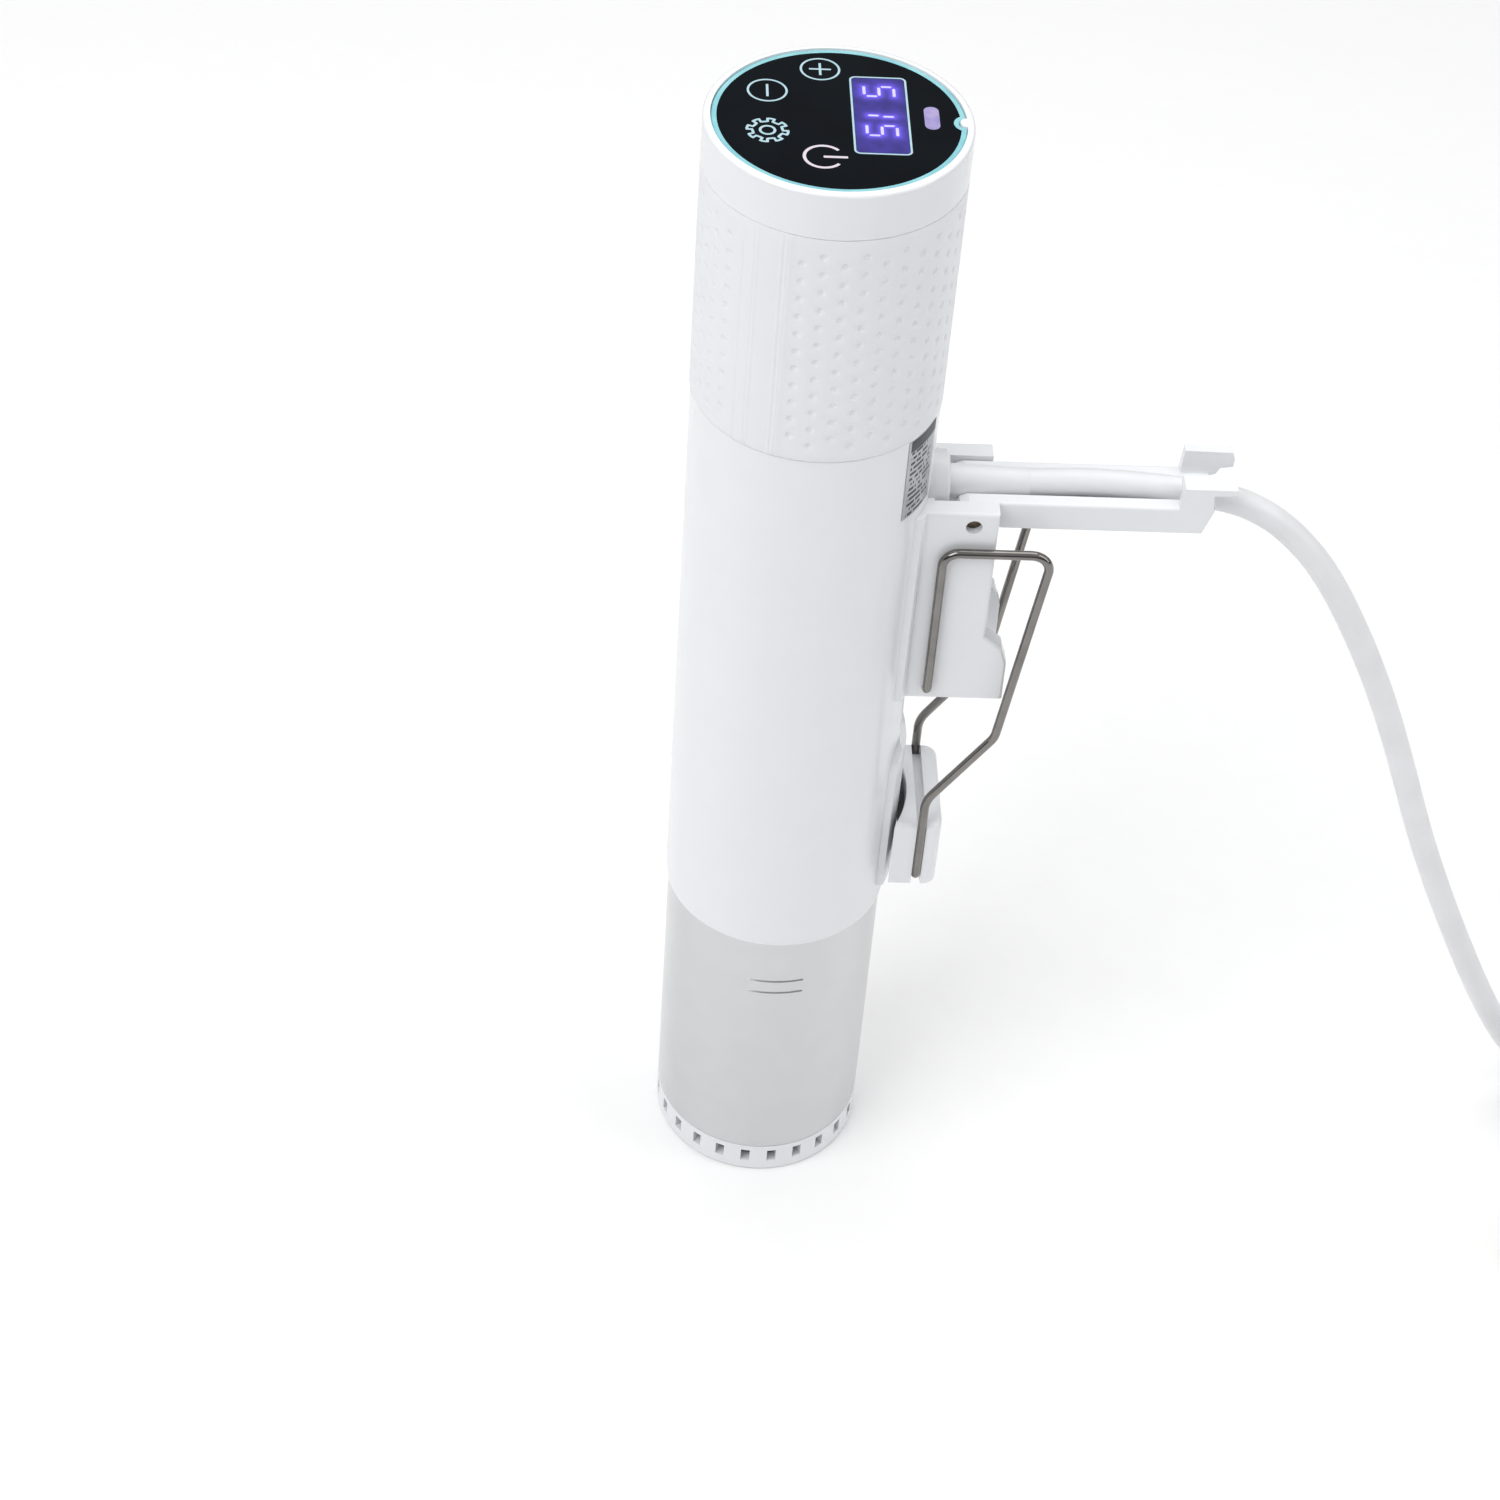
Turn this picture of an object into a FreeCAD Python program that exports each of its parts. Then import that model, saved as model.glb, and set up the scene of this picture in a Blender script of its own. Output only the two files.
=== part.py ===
"""Immersion circulator for sous vide cooking, with its rim clip and cord guide.

Millimetres, +Z up. The origin is the middle of the flat base, on the axis of the
round body. The rim clip, the cord guide and the cord are on the +X side.
"""
import FreeCAD, Part
import math
import os

os.makedirs("parts", exist_ok=True)
Vec = FreeCAD.Vector
UP = Vec(0, 0, 1)

# ---------------------------------------------------------------- driving sizes
# Heights along the body
TOTAL_HEIGHT = 370.0
CAP_SEAM = 357.4
GRIP_SEAM = 290.0
SKIRT_TOP = 108.0
BASE_CAP_TOP = 11.7

# Radii of the round body
BODY_R = 33.0
HOUSING_R = 32.7
HOUSING_BORE = 30.3
SKIRT_R = 31.9
SKIRT_BORE = 30.9
SPIGOT_R = 30.8
CHASSIS_R = 28.1
SEAM = 0.2

# Touch panel
RECESS_R = 31.1
GLASS_R = 31.0
GLASS_TOP = TOTAL_HEIGHT - 0.4
GLASS_THICK = 1.8
FOAM_THICK = 0.5
LOCATOR_R = 1.9
LOCATOR_X = 31.2
PANEL_LEDGE = GLASS_TOP - GLASS_THICK - FOAM_THICK
BOARD_TOP = 357.6
BOARD_THICK = 1.6
KEY_PLACES = [(-3.9, 21.9), (-17.1, 11.6), (-17.4, -5.8), (-4.3, -16.3)]
DISPLAY_BOX = (2.8, 17.0, -14.0, 20.0)
LAMP_PLACE = (22.4, 2.6)
SCREW_AZIMUTHS = [60.0, 185.0, 300.0]
SCREW_CIRCLE = 25.8

# Pump, motor and heater
SHAFT_R = 2.0
RUNNING_GAP = 0.05
SHAFT_BOTTOM = 10.0
SHAFT_TOP = 166.0
SEAL_PLATE_BOTTOM = 93.2
SEAL_PLATE_TOP = 95.2
SPIGOT_BOTTOM = 96.0
DECK_BOTTOM = 112.0
DECK_TOP = 116.0
MOTOR_BOTTOM = 118.0
MOTOR_TOP = 152.0
MOTOR_R = 16.0
HEATER_R = 3.2
HEATER_X = 17.0
HEATER_Y = 12.5
HEATER_BOTTOM = 46.0
PROBE_Y = 22.0
LEVEL_RODS = [(-5.0, -22.0), (5.0, -22.0)]

# Circuit board in the body
POWER_BOARD_FRONT = 5.2
POWER_BOARD_BACK = 6.8

# Clamp bracket
PLATE_OUT = 15.2
PLATE_IN = 9.6
BRACKET_TOP = 259.7
BRACKET_BOTTOM = 193.5
FLANGE_R = 34.4
FLANGE_HALF = 17.5
SPINE_X = 38.0
SCREW_HEIGHTS = [212.0, 234.0]
ARM_PIN = (43.7, 255.4)
ARM_PIN_R = 2.2
CLIP_PIVOT = (36.5, 197.0)
JAW_R = 34.6
JAW_HALF = 15.0

# Rim clip
WIRE_R = 1.3
WIRE_Y = 16.8
CLIP_WIRE_X = 40.3
FOOT_BOTTOM = 119.6
FOOT_TOP = 143.8
FOOT_HALF = 17.2
FOOT_OUT = 46.4
FOOT_HOLLOW_R = 36.6

# Cord guide arm
ARM_HALF = 9.2
CHANNEL_HALF = 4.8
ARM_BOTTOM = 250.2
ARM_TOP = 258.8
ARM_FLOOR = 253.6
ARM_FLOOR_END = 97.0

# Mains cord
CORD_R = 3.8
CORD_Z = 258.8
GLAND_FACE = 37.2
COLLAR_R = 8.6
COIL_CENTRE = (294.0, -20.0)
COIL_R = 39.0
COIL_TURN_GAP = 8.0
COIL_LAYER_RISE = 7.2

# Route of the cord through the guide, down to the table and on to the plug
HELD_ROUTE = [(37.2, 0.0, 258.8), (58.0, 0.0, 258.8), (79.5, 0.0, 260.0), (98.0, 0.0, 258.0)]
DROP_ROUTE = [(98.0, 0.0, 258.0), (111.9, 0.0, 256.5), (124.6, 0.0, 251.0), (135.5, 0.0, 241.6),
              (146.0, 0.0, 228.5), (158.5, 0.0, 206.8), (171.0, 0.0, 181.3), (182.3, 0.0, 153.8),
              (191.8, 0.0, 129.5), (201.9, 0.0, 106.6), (212.7, 0.0, 84.1), (224.0, -0.4, 61.8),
              (234.6, 0.6, 42.8), (244.6, 3.2, 26.8), (255.6, 7.9, 14.6), (268.0, 14.4, 6.8),
              (281.6, 20.1, 4.1), (295.9, 23.0, 3.9)]
TAIL_ROUTE = [(317.9, 11.9, 11.0), (328.0, 2.1, 11.4), (334.1, -11.5, 13.6), (334.5, -26.4, 17.4),
              (329.2, -41.0, 21.8), (318.7, -52.4, 25.8), (304.7, -59.0, 27.6), (289.2, -59.5, 27.6)]


# ---------------------------------------------------------------- shape helpers
def save(node, shape):
    """Write one node's solids to its own STEP file."""
    shape.exportStep("parts/" + node + ".step")
    print(node, len(shape.Solids), "solid", round(shape.Volume), "mm3")


def disc(radius, low, high, x=0.0, y=0.0):
    """An upright cylinder between two heights."""
    return Part.makeCylinder(radius, high - low, Vec(x, y, low))


def ring(outer, inner, low, high, x=0.0, y=0.0):
    """An upright tube between two heights."""
    return disc(outer, low, high, x, y).cut(disc(inner, low, high, x, y))


def rod_x(radius, start, end, y, z):
    """A cylinder along X."""
    return Part.makeCylinder(radius, end - start, Vec(start, y, z), Vec(1, 0, 0))


def rod_y(radius, start, end, x, z):
    """A cylinder along Y."""
    return Part.makeCylinder(radius, end - start, Vec(x, start, z), Vec(0, 1, 0))


def block(x_low, x_high, y_low, y_high, z_low, z_high):
    """A box between two corners."""
    return Part.makeBox(x_high - x_low, y_high - y_low, z_high - z_low, Vec(x_low, y_low, z_low))


def side_plate(outline, y_low, y_high):
    """An outline of (x, z) points, extruded along Y."""
    corners = [Vec(x, y_low, z) for x, z in outline]
    face = Part.Face(Part.makePolygon(corners + corners[:1]))
    return face.extrude(Vec(0, y_high - y_low, 0))


def soften(shape, radius, wanted):
    """Round the edges whose middle point passes the test."""
    edges = []
    for edge in shape.Edges:
        middle = edge.valueAt((edge.FirstParameter + edge.LastParameter) / 2)
        if wanted(edge, middle):
            edges.append(edge)
    return shape.makeFillet(radius, edges)


def sector(shape, start, end, reach=60.0):
    """The part of a round shape between two azimuths in degrees."""
    low = shape.BoundBox.ZMin - 1
    high = shape.BoundBox.ZMax + 1
    first = Vec(reach * math.cos(math.radians(start)), reach * math.sin(math.radians(start)), low)
    last = Vec(reach * math.cos(math.radians(end)), reach * math.sin(math.radians(end)), low)
    middle = math.radians((start + end) / 2)
    far = Vec(2 * reach * math.cos(middle), 2 * reach * math.sin(middle), low)
    wedge = Part.Face(Part.makePolygon([Vec(0, 0, low), first, far, last, Vec(0, 0, low)]))
    return shape.common(wedge.extrude(Vec(0, 0, high - low)))


def around(shape, count, start=0.0):
    """Copies of a shape, evenly spaced about the Z axis."""
    copies = []
    for index in range(count):
        copy = shape.copy()
        copy.rotate(Vec(0, 0, 0), UP, start + index * 360.0 / count)
        copies.append(copy)
    return copies


def bent_path(points, bends=None):
    """Straight runs joined by tangent arcs, and the tightest arc's radius."""
    corners = [Vec(*point) for point in points]
    edges = []
    radii = []
    here = corners[0]
    for index in range(1, len(corners) - 1):
        corner = corners[index]
        back = corners[index - 1] - corner
        ahead = corners[index + 1] - corner
        half_turn = (math.pi - back.getAngle(ahead)) / 2
        radius = 0.45 * min(back.Length, ahead.Length) / math.tan(half_turn)
        if bends:
            radius = bends[index - 1]
        back.normalize()
        ahead.normalize()
        reach = radius * math.tan(half_turn)
        inward = (back + ahead).normalize()
        depth = radius / math.cos(half_turn) - radius
        leave = corner + back * reach
        meet = corner + ahead * reach
        edges.append(Part.LineSegment(here, leave).toShape())
        edges.append(Part.Arc(leave, corner + inward * depth, meet).toShape())
        radii.append(radius)
        here = meet
    edges.append(Part.LineSegment(here, corners[-1]).toShape())
    return Part.Wire(edges), radii


def tube_along(points, radius, bends=None, name=""):
    """A round bar or cord along a bent path."""
    path, radii = bent_path(points, bends)
    direction = Vec(*points[1]) - Vec(*points[0])
    profile = Part.Wire(Part.makeCircle(radius, Vec(*points[0]), direction))
    solid = path.makePipeShell([profile], True, False)
    expected = math.pi * radius * radius * path.Length
    if name:
        print(name, "length", round(path.Length, 1), "radii", [round(r) for r in radii],
              "volume ratio", round(solid.Volume / expected, 4))
    return solid


# ---------------------------------------------------------------- top cap and touch panel
def top_cap_ring():
    """Rim that holds the panel and keeps it from turning, with a spigot that snaps into the grip sleeve."""
    ring_body = ring(BODY_R, 28.5, CAP_SEAM + SEAM / 2, TOTAL_HEIGHT)
    ring_body = ring_body.cut(disc(RECESS_R, PANEL_LEDGE, TOTAL_HEIGHT))
    spigot = ring(30.5, 28.5, 351.0, CAP_SEAM + SEAM)
    whole = ring_body.fuse(spigot).removeSplitter()
    whole = soften(whole, 0.8, lambda edge, p: abs(p.z - TOTAL_HEIGHT) < 0.01 and edge.Length > 200)
    locator = disc(LOCATOR_R, PANEL_LEDGE, TOTAL_HEIGHT - 0.1, LOCATOR_X, 0.0)
    return whole.fuse(locator.common(disc(RECESS_R + 0.5, 360.0, TOTAL_HEIGHT))).removeSplitter()


def locator_notch():
    """Room in the glass and its foam for the rim's half-round locator."""
    return disc(LOCATOR_R + 0.15, PANEL_LEDGE - 1, TOTAL_HEIGHT, LOCATOR_X, 0.0)


def touch_panel_glass():
    """Round glass panel with the touch keys printed under it, notched for the rim's locator."""
    return disc(GLASS_R, GLASS_TOP - GLASS_THICK, GLASS_TOP).cut(locator_notch())


def panel_foam():
    """Adhesive foam ring under the edge of the glass."""
    return ring(30.8, 28.6, PANEL_LEDGE, PANEL_LEDGE + FOAM_THICK).cut(locator_notch())


def key_springs():
    """Four contact springs that carry the touch keys' signal up to the glass."""
    springs = [ring(3.2, 2.4, BOARD_TOP, GLASS_TOP - GLASS_THICK, x, y) for x, y in KEY_PLACES]
    return Part.makeCompound(springs)


def display_module():
    """Block with the three lit digits."""
    x_low, x_high, y_low, y_high = DISPLAY_BOX
    case = block(x_low, x_high, y_low, y_high, BOARD_TOP, PANEL_LEDGE - 0.3)
    return soften(case, 1.0, lambda edge, p: abs(edge.Length - (PANEL_LEDGE - 0.3 - BOARD_TOP)) < 0.01)


def status_lamp():
    """Light block under the oblong status window."""
    x, y = LAMP_PLACE
    lamp = block(x - 1.8, x + 1.8, y - 5.0, y + 5.0, BOARD_TOP, PANEL_LEDGE - 0.3)
    return soften(lamp, 1.7, lambda edge, p: abs(edge.Length - (PANEL_LEDGE - 0.3 - BOARD_TOP)) < 0.01)


def screw_spots():
    """Centres of the three screws that hold the display board."""
    spots = []
    for azimuth in SCREW_AZIMUTHS:
        turn = math.radians(azimuth)
        spots.append((SCREW_CIRCLE * math.cos(turn), SCREW_CIRCLE * math.sin(turn)))
    return spots


def display_board():
    """Round circuit board under the panel."""
    board = disc(CHASSIS_R, BOARD_TOP - BOARD_THICK, BOARD_TOP)
    for x, y in screw_spots():
        board = board.cut(disc(1.1, BOARD_TOP - 3, BOARD_TOP + 1, x, y))
    return board


def display_board_screws():
    """Three small screws through the display board into the chassis ring."""
    screws = []
    for x, y in screw_spots():
        head = disc(2.0, BOARD_TOP, BOARD_TOP + 1.4, x, y)
        shank = disc(1.1, BOARD_TOP - 5.0, BOARD_TOP, x, y)
        screws.append(head.fuse(shank).removeSplitter())
    return Part.makeCompound(screws)


def buzzer():
    """Beeper on the display board."""
    return disc(5.0, BOARD_TOP, BOARD_TOP + 5.0, -8.5, 2.5)


# ---------------------------------------------------------------- shells
def grip_sleeve():
    """Moulded sleeve that the hand holds."""
    sleeve = ring(BODY_R, 30.6, GRIP_SEAM + SEAM / 2, CAP_SEAM - SEAM / 2)
    return soften(sleeve, 0.35, lambda edge, p: edge.Length > 205)


def main_housing():
    """Lower plastic body, with a spigot at each end."""
    wall = ring(HOUSING_R, HOUSING_BORE, DECK_BOTTOM, GRIP_SEAM - SEAM / 2 - 3.8)
    shoulder = ring(HOUSING_R, 28.4, GRIP_SEAM - SEAM / 2 - 3.8, GRIP_SEAM - SEAM / 2)
    top_spigot = ring(30.5, 28.4, GRIP_SEAM - SEAM / 2, 297.0)
    foot_ring = ring(HOUSING_R, 28.2, SKIRT_TOP, DECK_BOTTOM)
    low_spigot = ring(SPIGOT_R, 28.2, SPIGOT_BOTTOM, SKIRT_TOP)
    body = wall.multiFuse([shoulder, top_spigot, foot_ring, low_spigot]).removeSplitter()
    body = body.cut(ring(SPIGOT_R + 1, 29.4, 100.0, 101.8))
    body = body.cut(rod_x(5.2, 20.0, 40.0, 0.0, CORD_Z))
    for height in SCREW_HEIGHTS:
        body = body.cut(rod_x(1.5, 20.0, 40.0, 0.0, height))
    return body


def rating_label():
    """Foil sticker low on the body, beside the clamp bracket."""
    return sector(ring(HOUSING_R + 0.12, HOUSING_R, 263.5, 289.3), -45.0, -21.0)


def jaw_pad():
    """Fixed jaw: a pad on the body that the pot wall bears against."""
    outline = block(20, 40, -JAW_HALF, JAW_HALF, 116.0, 171.0)
    outline = soften(outline, 8.0, lambda edge, p: abs(p.x - 30) < 0.1 and p.z > 170)
    pad = ring(JAW_R, HOUSING_R, 116.0, 171.0).common(outline)
    slope = side_plate([(31.0, 172.0), (36.0, 172.0), (36.0, 163.0)], -16, 16)
    return pad.cut(slope)


def steel_skirt():
    """Stainless tube round the heater, with two raised water level marks."""
    tube = ring(SKIRT_R, SKIRT_BORE, BASE_CAP_TOP + 0.3, SKIRT_TOP)
    marks = []
    for low in (84.0, 89.0):
        marks.append(sector(ring(SKIRT_R + 0.35, SKIRT_R - 0.2, low, low + 1.8), -104.0, -74.0))
    return tube.multiFuse(marks).removeSplitter()


def skirt_o_ring():
    """Rubber ring that seals the skirt on the housing's lower spigot."""
    return ring(SPIGOT_R + 0.08, 29.4, 100.0, 101.8)


def base_cap():
    """Twist-off foot with inlet slots below and outlet slots round its side."""
    wall = ring(SKIRT_R, 28.6, 0.0, BASE_CAP_TOP)
    neck = ring(30.5, 28.6, BASE_CAP_TOP, 20.0)
    floor = disc(29.0, 0.0, 3.0)
    cap = wall.multiFuse([neck, floor]).removeSplitter()
    cap = soften(cap, 1.2, lambda edge, p: abs(p.z) < 0.01 and edge.Length > 190)
    inlets = around(block(9.0, 23.0, -1.5, 1.5, -1.0, 4.0), 12)
    outlets = around(block(26.0, 34.0, -1.4, 1.4, 4.5, 9.5), 24, 7.5)
    return cap.cut(Part.makeCompound(inlets + outlets))


# ---------------------------------------------------------------- chassis and boards
def chassis():
    """Inner frame: a deck for the motor, two rails for the board and a top ring."""
    deck = disc(30.1, DECK_BOTTOM, DECK_TOP)
    rails = []
    for side in (-1, 1):
        near, far = sorted((side * 21.0, side * 26.0))
        rail = block(near, far, 2.0, 10.0, DECK_TOP, 350.0)
        slot = block(-23.1, 23.1, POWER_BOARD_FRONT - 0.05, POWER_BOARD_BACK + 0.05, 170.0, 340.0)
        rails.append(rail.cut(slot))
    top_ring = ring(CHASSIS_R, 23.5, 350.0, BOARD_TOP - BOARD_THICK)
    frame = deck.multiFuse(rails + [top_ring]).removeSplitter()
    frame = frame.cut(disc(6.0, DECK_BOTTOM - 1, DECK_TOP + 1))
    for x in (-HEATER_X, HEATER_X):
        for y in (-HEATER_Y, HEATER_Y):
            frame = frame.cut(disc(2.2, DECK_BOTTOM - 1, DECK_TOP + 1, x, y))
    for x, y in screw_spots():
        frame = frame.cut(disc(1.1, BOARD_TOP - 5.0, BOARD_TOP, x, y))
    for x in (-10.0, 10.0):
        frame = frame.cut(disc(2.8, DECK_BOTTOM - 1, DECK_TOP + 1, x, 0.0))
    return frame


def power_board():
    """Upright circuit board that carries the power electronics."""
    return block(-23.0, 23.0, POWER_BOARD_FRONT, POWER_BOARD_BACK, 172.0, 338.0)


def transformer():
    """Small mains transformer: a laminated core round its bobbin."""
    core = block(-18.0, 2.0, -10.0, 1.2, 182.0, 206.0)
    bobbin = block(-14.0, -2.0, -13.0, POWER_BOARD_FRONT, 186.0, 202.0)
    return core.fuse(bobbin).removeSplitter()


def relay():
    """Relay that switches the heater."""
    return block(6.0, 20.0, -8.0, POWER_BOARD_FRONT, 184.0, 204.0)


def filter_capacitors():
    """Two round capacitors that lie against the board."""
    return Part.makeCompound([rod_y(5.5, -12.0, POWER_BOARD_FRONT, x, 222.0) for x in (-13.0, 0.0)])


def fuse():
    """Cartridge fuse in its clips."""
    return rod_x(2.6, -18.0, 2.0, 0.6, 238.0).fuse(
        block(-16.0, -13.0, -1.0, POWER_BOARD_FRONT, 235.8, 240.2)).fuse(
        block(-3.0, 0.0, -1.0, POWER_BOARD_FRONT, 235.8, 240.2)).removeSplitter()


def terminal_block():
    """Screw terminals where the mains wires land."""
    return block(4.0, 18.0, -8.0, POWER_BOARD_FRONT, 250.0, 266.0)


def heat_sink():
    """Finned aluminium block that cools the heater's switch."""
    fins = [block(-16.0 + 4.5 * index, -14.0 + 4.5 * index, -16.0, -2.0, 278.0, 306.0) for index in range(8)]
    plate = block(-16.0, 17.5, -2.0, 1.0, 278.0, 306.0)
    return plate.multiFuse(fins).removeSplitter()


def heater_triac():
    """Flat power switch clamped behind the heat sink."""
    return block(-5.0, 5.0, 1.0, POWER_BOARD_FRONT, 284.0, 299.0)


def ribbon_cable():
    """Flat cable from the power board up to the display board."""
    plug = block(-8.0, 8.0, POWER_BOARD_BACK, 9.0, 322.0, 327.0)
    strip = block(-6.5, 6.5, 7.4, 7.9, 327.0, BOARD_TOP - BOARD_THICK)
    return plug.fuse(strip).removeSplitter()


def mains_wires():
    """Three core wires from the cord's end to the terminals."""
    return Part.makeCompound([rod_x(0.9, 18.0, 26.2, y, CORD_Z + dz)
                              for y, dz in ((-1.9, -1.1), (0.2, -1.1), (-0.85, 1.1))])


def heater_wires():
    """Four wires from the heater's cold pins up to the power board."""
    wires = []
    for x in (-HEATER_X, HEATER_X):
        for y in (-HEATER_Y, HEATER_Y):
            face = POWER_BOARD_BACK if y > 0 else POWER_BOARD_FRONT
            inward = 2.0 if y > 0 else -2.0
            route = [(x, y, 104.0), (x, y, 166.0), (x * 0.8, y - inward, 176.0), (x * 0.62, face, 178.6)]
            wires.append(tube_along(route, 0.9, [5.0, 2.0]))
    return Part.makeCompound(wires)


# ---------------------------------------------------------------- motor, pump and heater
def motor_mount():
    """Steel plate that carries the motor on the chassis deck."""
    plate = disc(18.0, DECK_TOP, MOTOR_BOTTOM)
    plate = plate.cut(disc(5.0, DECK_TOP - 1, MOTOR_BOTTOM + 1))
    for x in (-10.0, 10.0):
        plate = plate.cut(disc(1.5, DECK_TOP - 1, MOTOR_BOTTOM + 1, x, 0.0))
    return plate


def motor_can():
    """Steel case of the pump motor."""
    can = disc(MOTOR_R, MOTOR_BOTTOM, MOTOR_TOP).cut(disc(14.6, MOTOR_BOTTOM + 1.5, MOTOR_TOP - 1.5))
    can = can.cut(disc(4.0, MOTOR_BOTTOM - 1, MOTOR_TOP + 1))
    for x in (-10.0, 10.0):
        can = can.cut(disc(1.5, MOTOR_BOTTOM - 1, MOTOR_BOTTOM + 3, x, 0.0))
    return can


def motor_bearings():
    """Two plain bearings in the ends of the motor case."""
    low = ring(4.0, SHAFT_R + RUNNING_GAP, MOTOR_BOTTOM, MOTOR_BOTTOM + 3.5)
    high = ring(4.0, SHAFT_R + RUNNING_GAP, MOTOR_TOP - 3.5, MOTOR_TOP)
    return Part.makeCompound([low, high])


def motor_stator():
    """Wound ring fixed in the motor case."""
    core = ring(14.6, 9.2, 126.0, 144.0)
    return core.fuse(ring(13.5, 10.5, 122.5, 147.5)).removeSplitter()


def motor_rotor():
    """Magnet drum on the shaft."""
    return ring(8.7, SHAFT_R, 125.0, 145.0)


def motor_screws():
    """Two screws up through the mount into the motor case."""
    screws = []
    for x in (-10.0, 10.0):
        head = disc(2.6, DECK_TOP - 1.8, DECK_TOP, x, 0.0)
        shank = disc(1.5, DECK_TOP, MOTOR_BOTTOM + 1.5, x, 0.0)
        screws.append(head.fuse(shank).removeSplitter())
    return Part.makeCompound(screws)


def drive_shaft():
    """Steel shaft from the motor down to the impeller."""
    shaft = disc(SHAFT_R, SHAFT_BOTTOM, SHAFT_TOP)
    return shaft.makeChamfer(0.4, [edge for edge in shaft.Edges if edge.Closed])


def cooling_fan():
    """Fan above the motor that moves air through the body."""
    hub = ring(5.5, SHAFT_R, 156.0, 163.0)
    blade = block(4.5, 18.0, -0.6, 0.6, 156.5, 162.5)
    blade.rotate(Vec(11, 0, 159.5), Vec(1, 0, 0), 32)
    return hub.multiFuse(around(blade, 7)).removeSplitter()


def shaft_seal():
    """Lip seal on the seal plate."""
    return ring(7.0, SHAFT_R + RUNNING_GAP, SEAL_PLATE_TOP, 99.0)


def guide_tube():
    """Steel tube that steadies the long shaft."""
    return ring(6.0, 4.0, 34.0, SEAL_PLATE_BOTTOM)


def shaft_bush():
    """Bronze bush in the lower end of the guide tube."""
    return ring(4.0, SHAFT_R + RUNNING_GAP, 34.0, 41.0)


def impeller():
    """Pump wheel with six curved blades."""
    hub = ring(5.0, SHAFT_R, 12.0, 23.0)
    back = ring(19.0, SHAFT_R, 21.5, 23.0)
    outer = ring(12.0, 10.8, 13.0, 22.0, 11.5, 0.0)
    blade = outer.common(block(3.5, 25.0, 0.0, 13.0, 12.0, 23.0)).common(disc(18.6, 12.0, 23.0))
    return hub.multiFuse([back] + around(blade, 6)).removeSplitter()


def seal_plate():
    """Stainless plate that closes the wet end and carries heater and probes."""
    plate = disc(SPIGOT_R, SEAL_PLATE_BOTTOM, SEAL_PLATE_TOP)
    plate = plate.cut(disc(4.0, 90.0, 100.0))
    for x in (-HEATER_X, HEATER_X):
        for y in (-HEATER_Y, HEATER_Y):
            plate = plate.cut(disc(HEATER_R, 90.0, 100.0, x, y))
    plate = plate.cut(disc(2.0, 90.0, 100.0, 0.0, PROBE_Y))
    for x, y in LEVEL_RODS:
        plate = plate.cut(disc(1.5, 90.0, 100.0, x, y))
    return plate


def seal_gasket():
    """Flat rubber ring between the seal plate and the housing."""
    return ring(SPIGOT_R, 28.0, SEAL_PLATE_TOP, SPIGOT_BOTTOM)


def heater_element():
    """Two sheathed hairpin heaters with their thin cold pins."""
    hairpins = []
    for x in (-HEATER_X, HEATER_X):
        route = [(x, -HEATER_Y, 101.0), (x, -HEATER_Y, HEATER_BOTTOM - HEATER_Y),
                 (x, HEATER_Y, HEATER_BOTTOM - HEATER_Y), (x, HEATER_Y, 101.0)]
        loop = tube_along(route, HEATER_R, [HEATER_Y - 0.01, HEATER_Y - 0.01])
        pins = [disc(1.2, 101.0, 104.0, x, y) for y in (-HEATER_Y, HEATER_Y)]
        hairpins.append(loop.multiFuse(pins).removeSplitter())
    return Part.makeCompound(hairpins)


def temperature_probe():
    """Closed steel tube with the sensor in its rounded tip."""
    tube = disc(2.0, 42.0, 103.0, 0.0, PROBE_Y)
    return tube.fuse(Part.makeSphere(2.0, Vec(0, PROBE_Y, 42.0))).removeSplitter()


def level_rods():
    """Two rods that sense the water level."""
    return Part.makeCompound([disc(1.5, 62.0, 103.0, x, y) for x, y in LEVEL_RODS])


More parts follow.
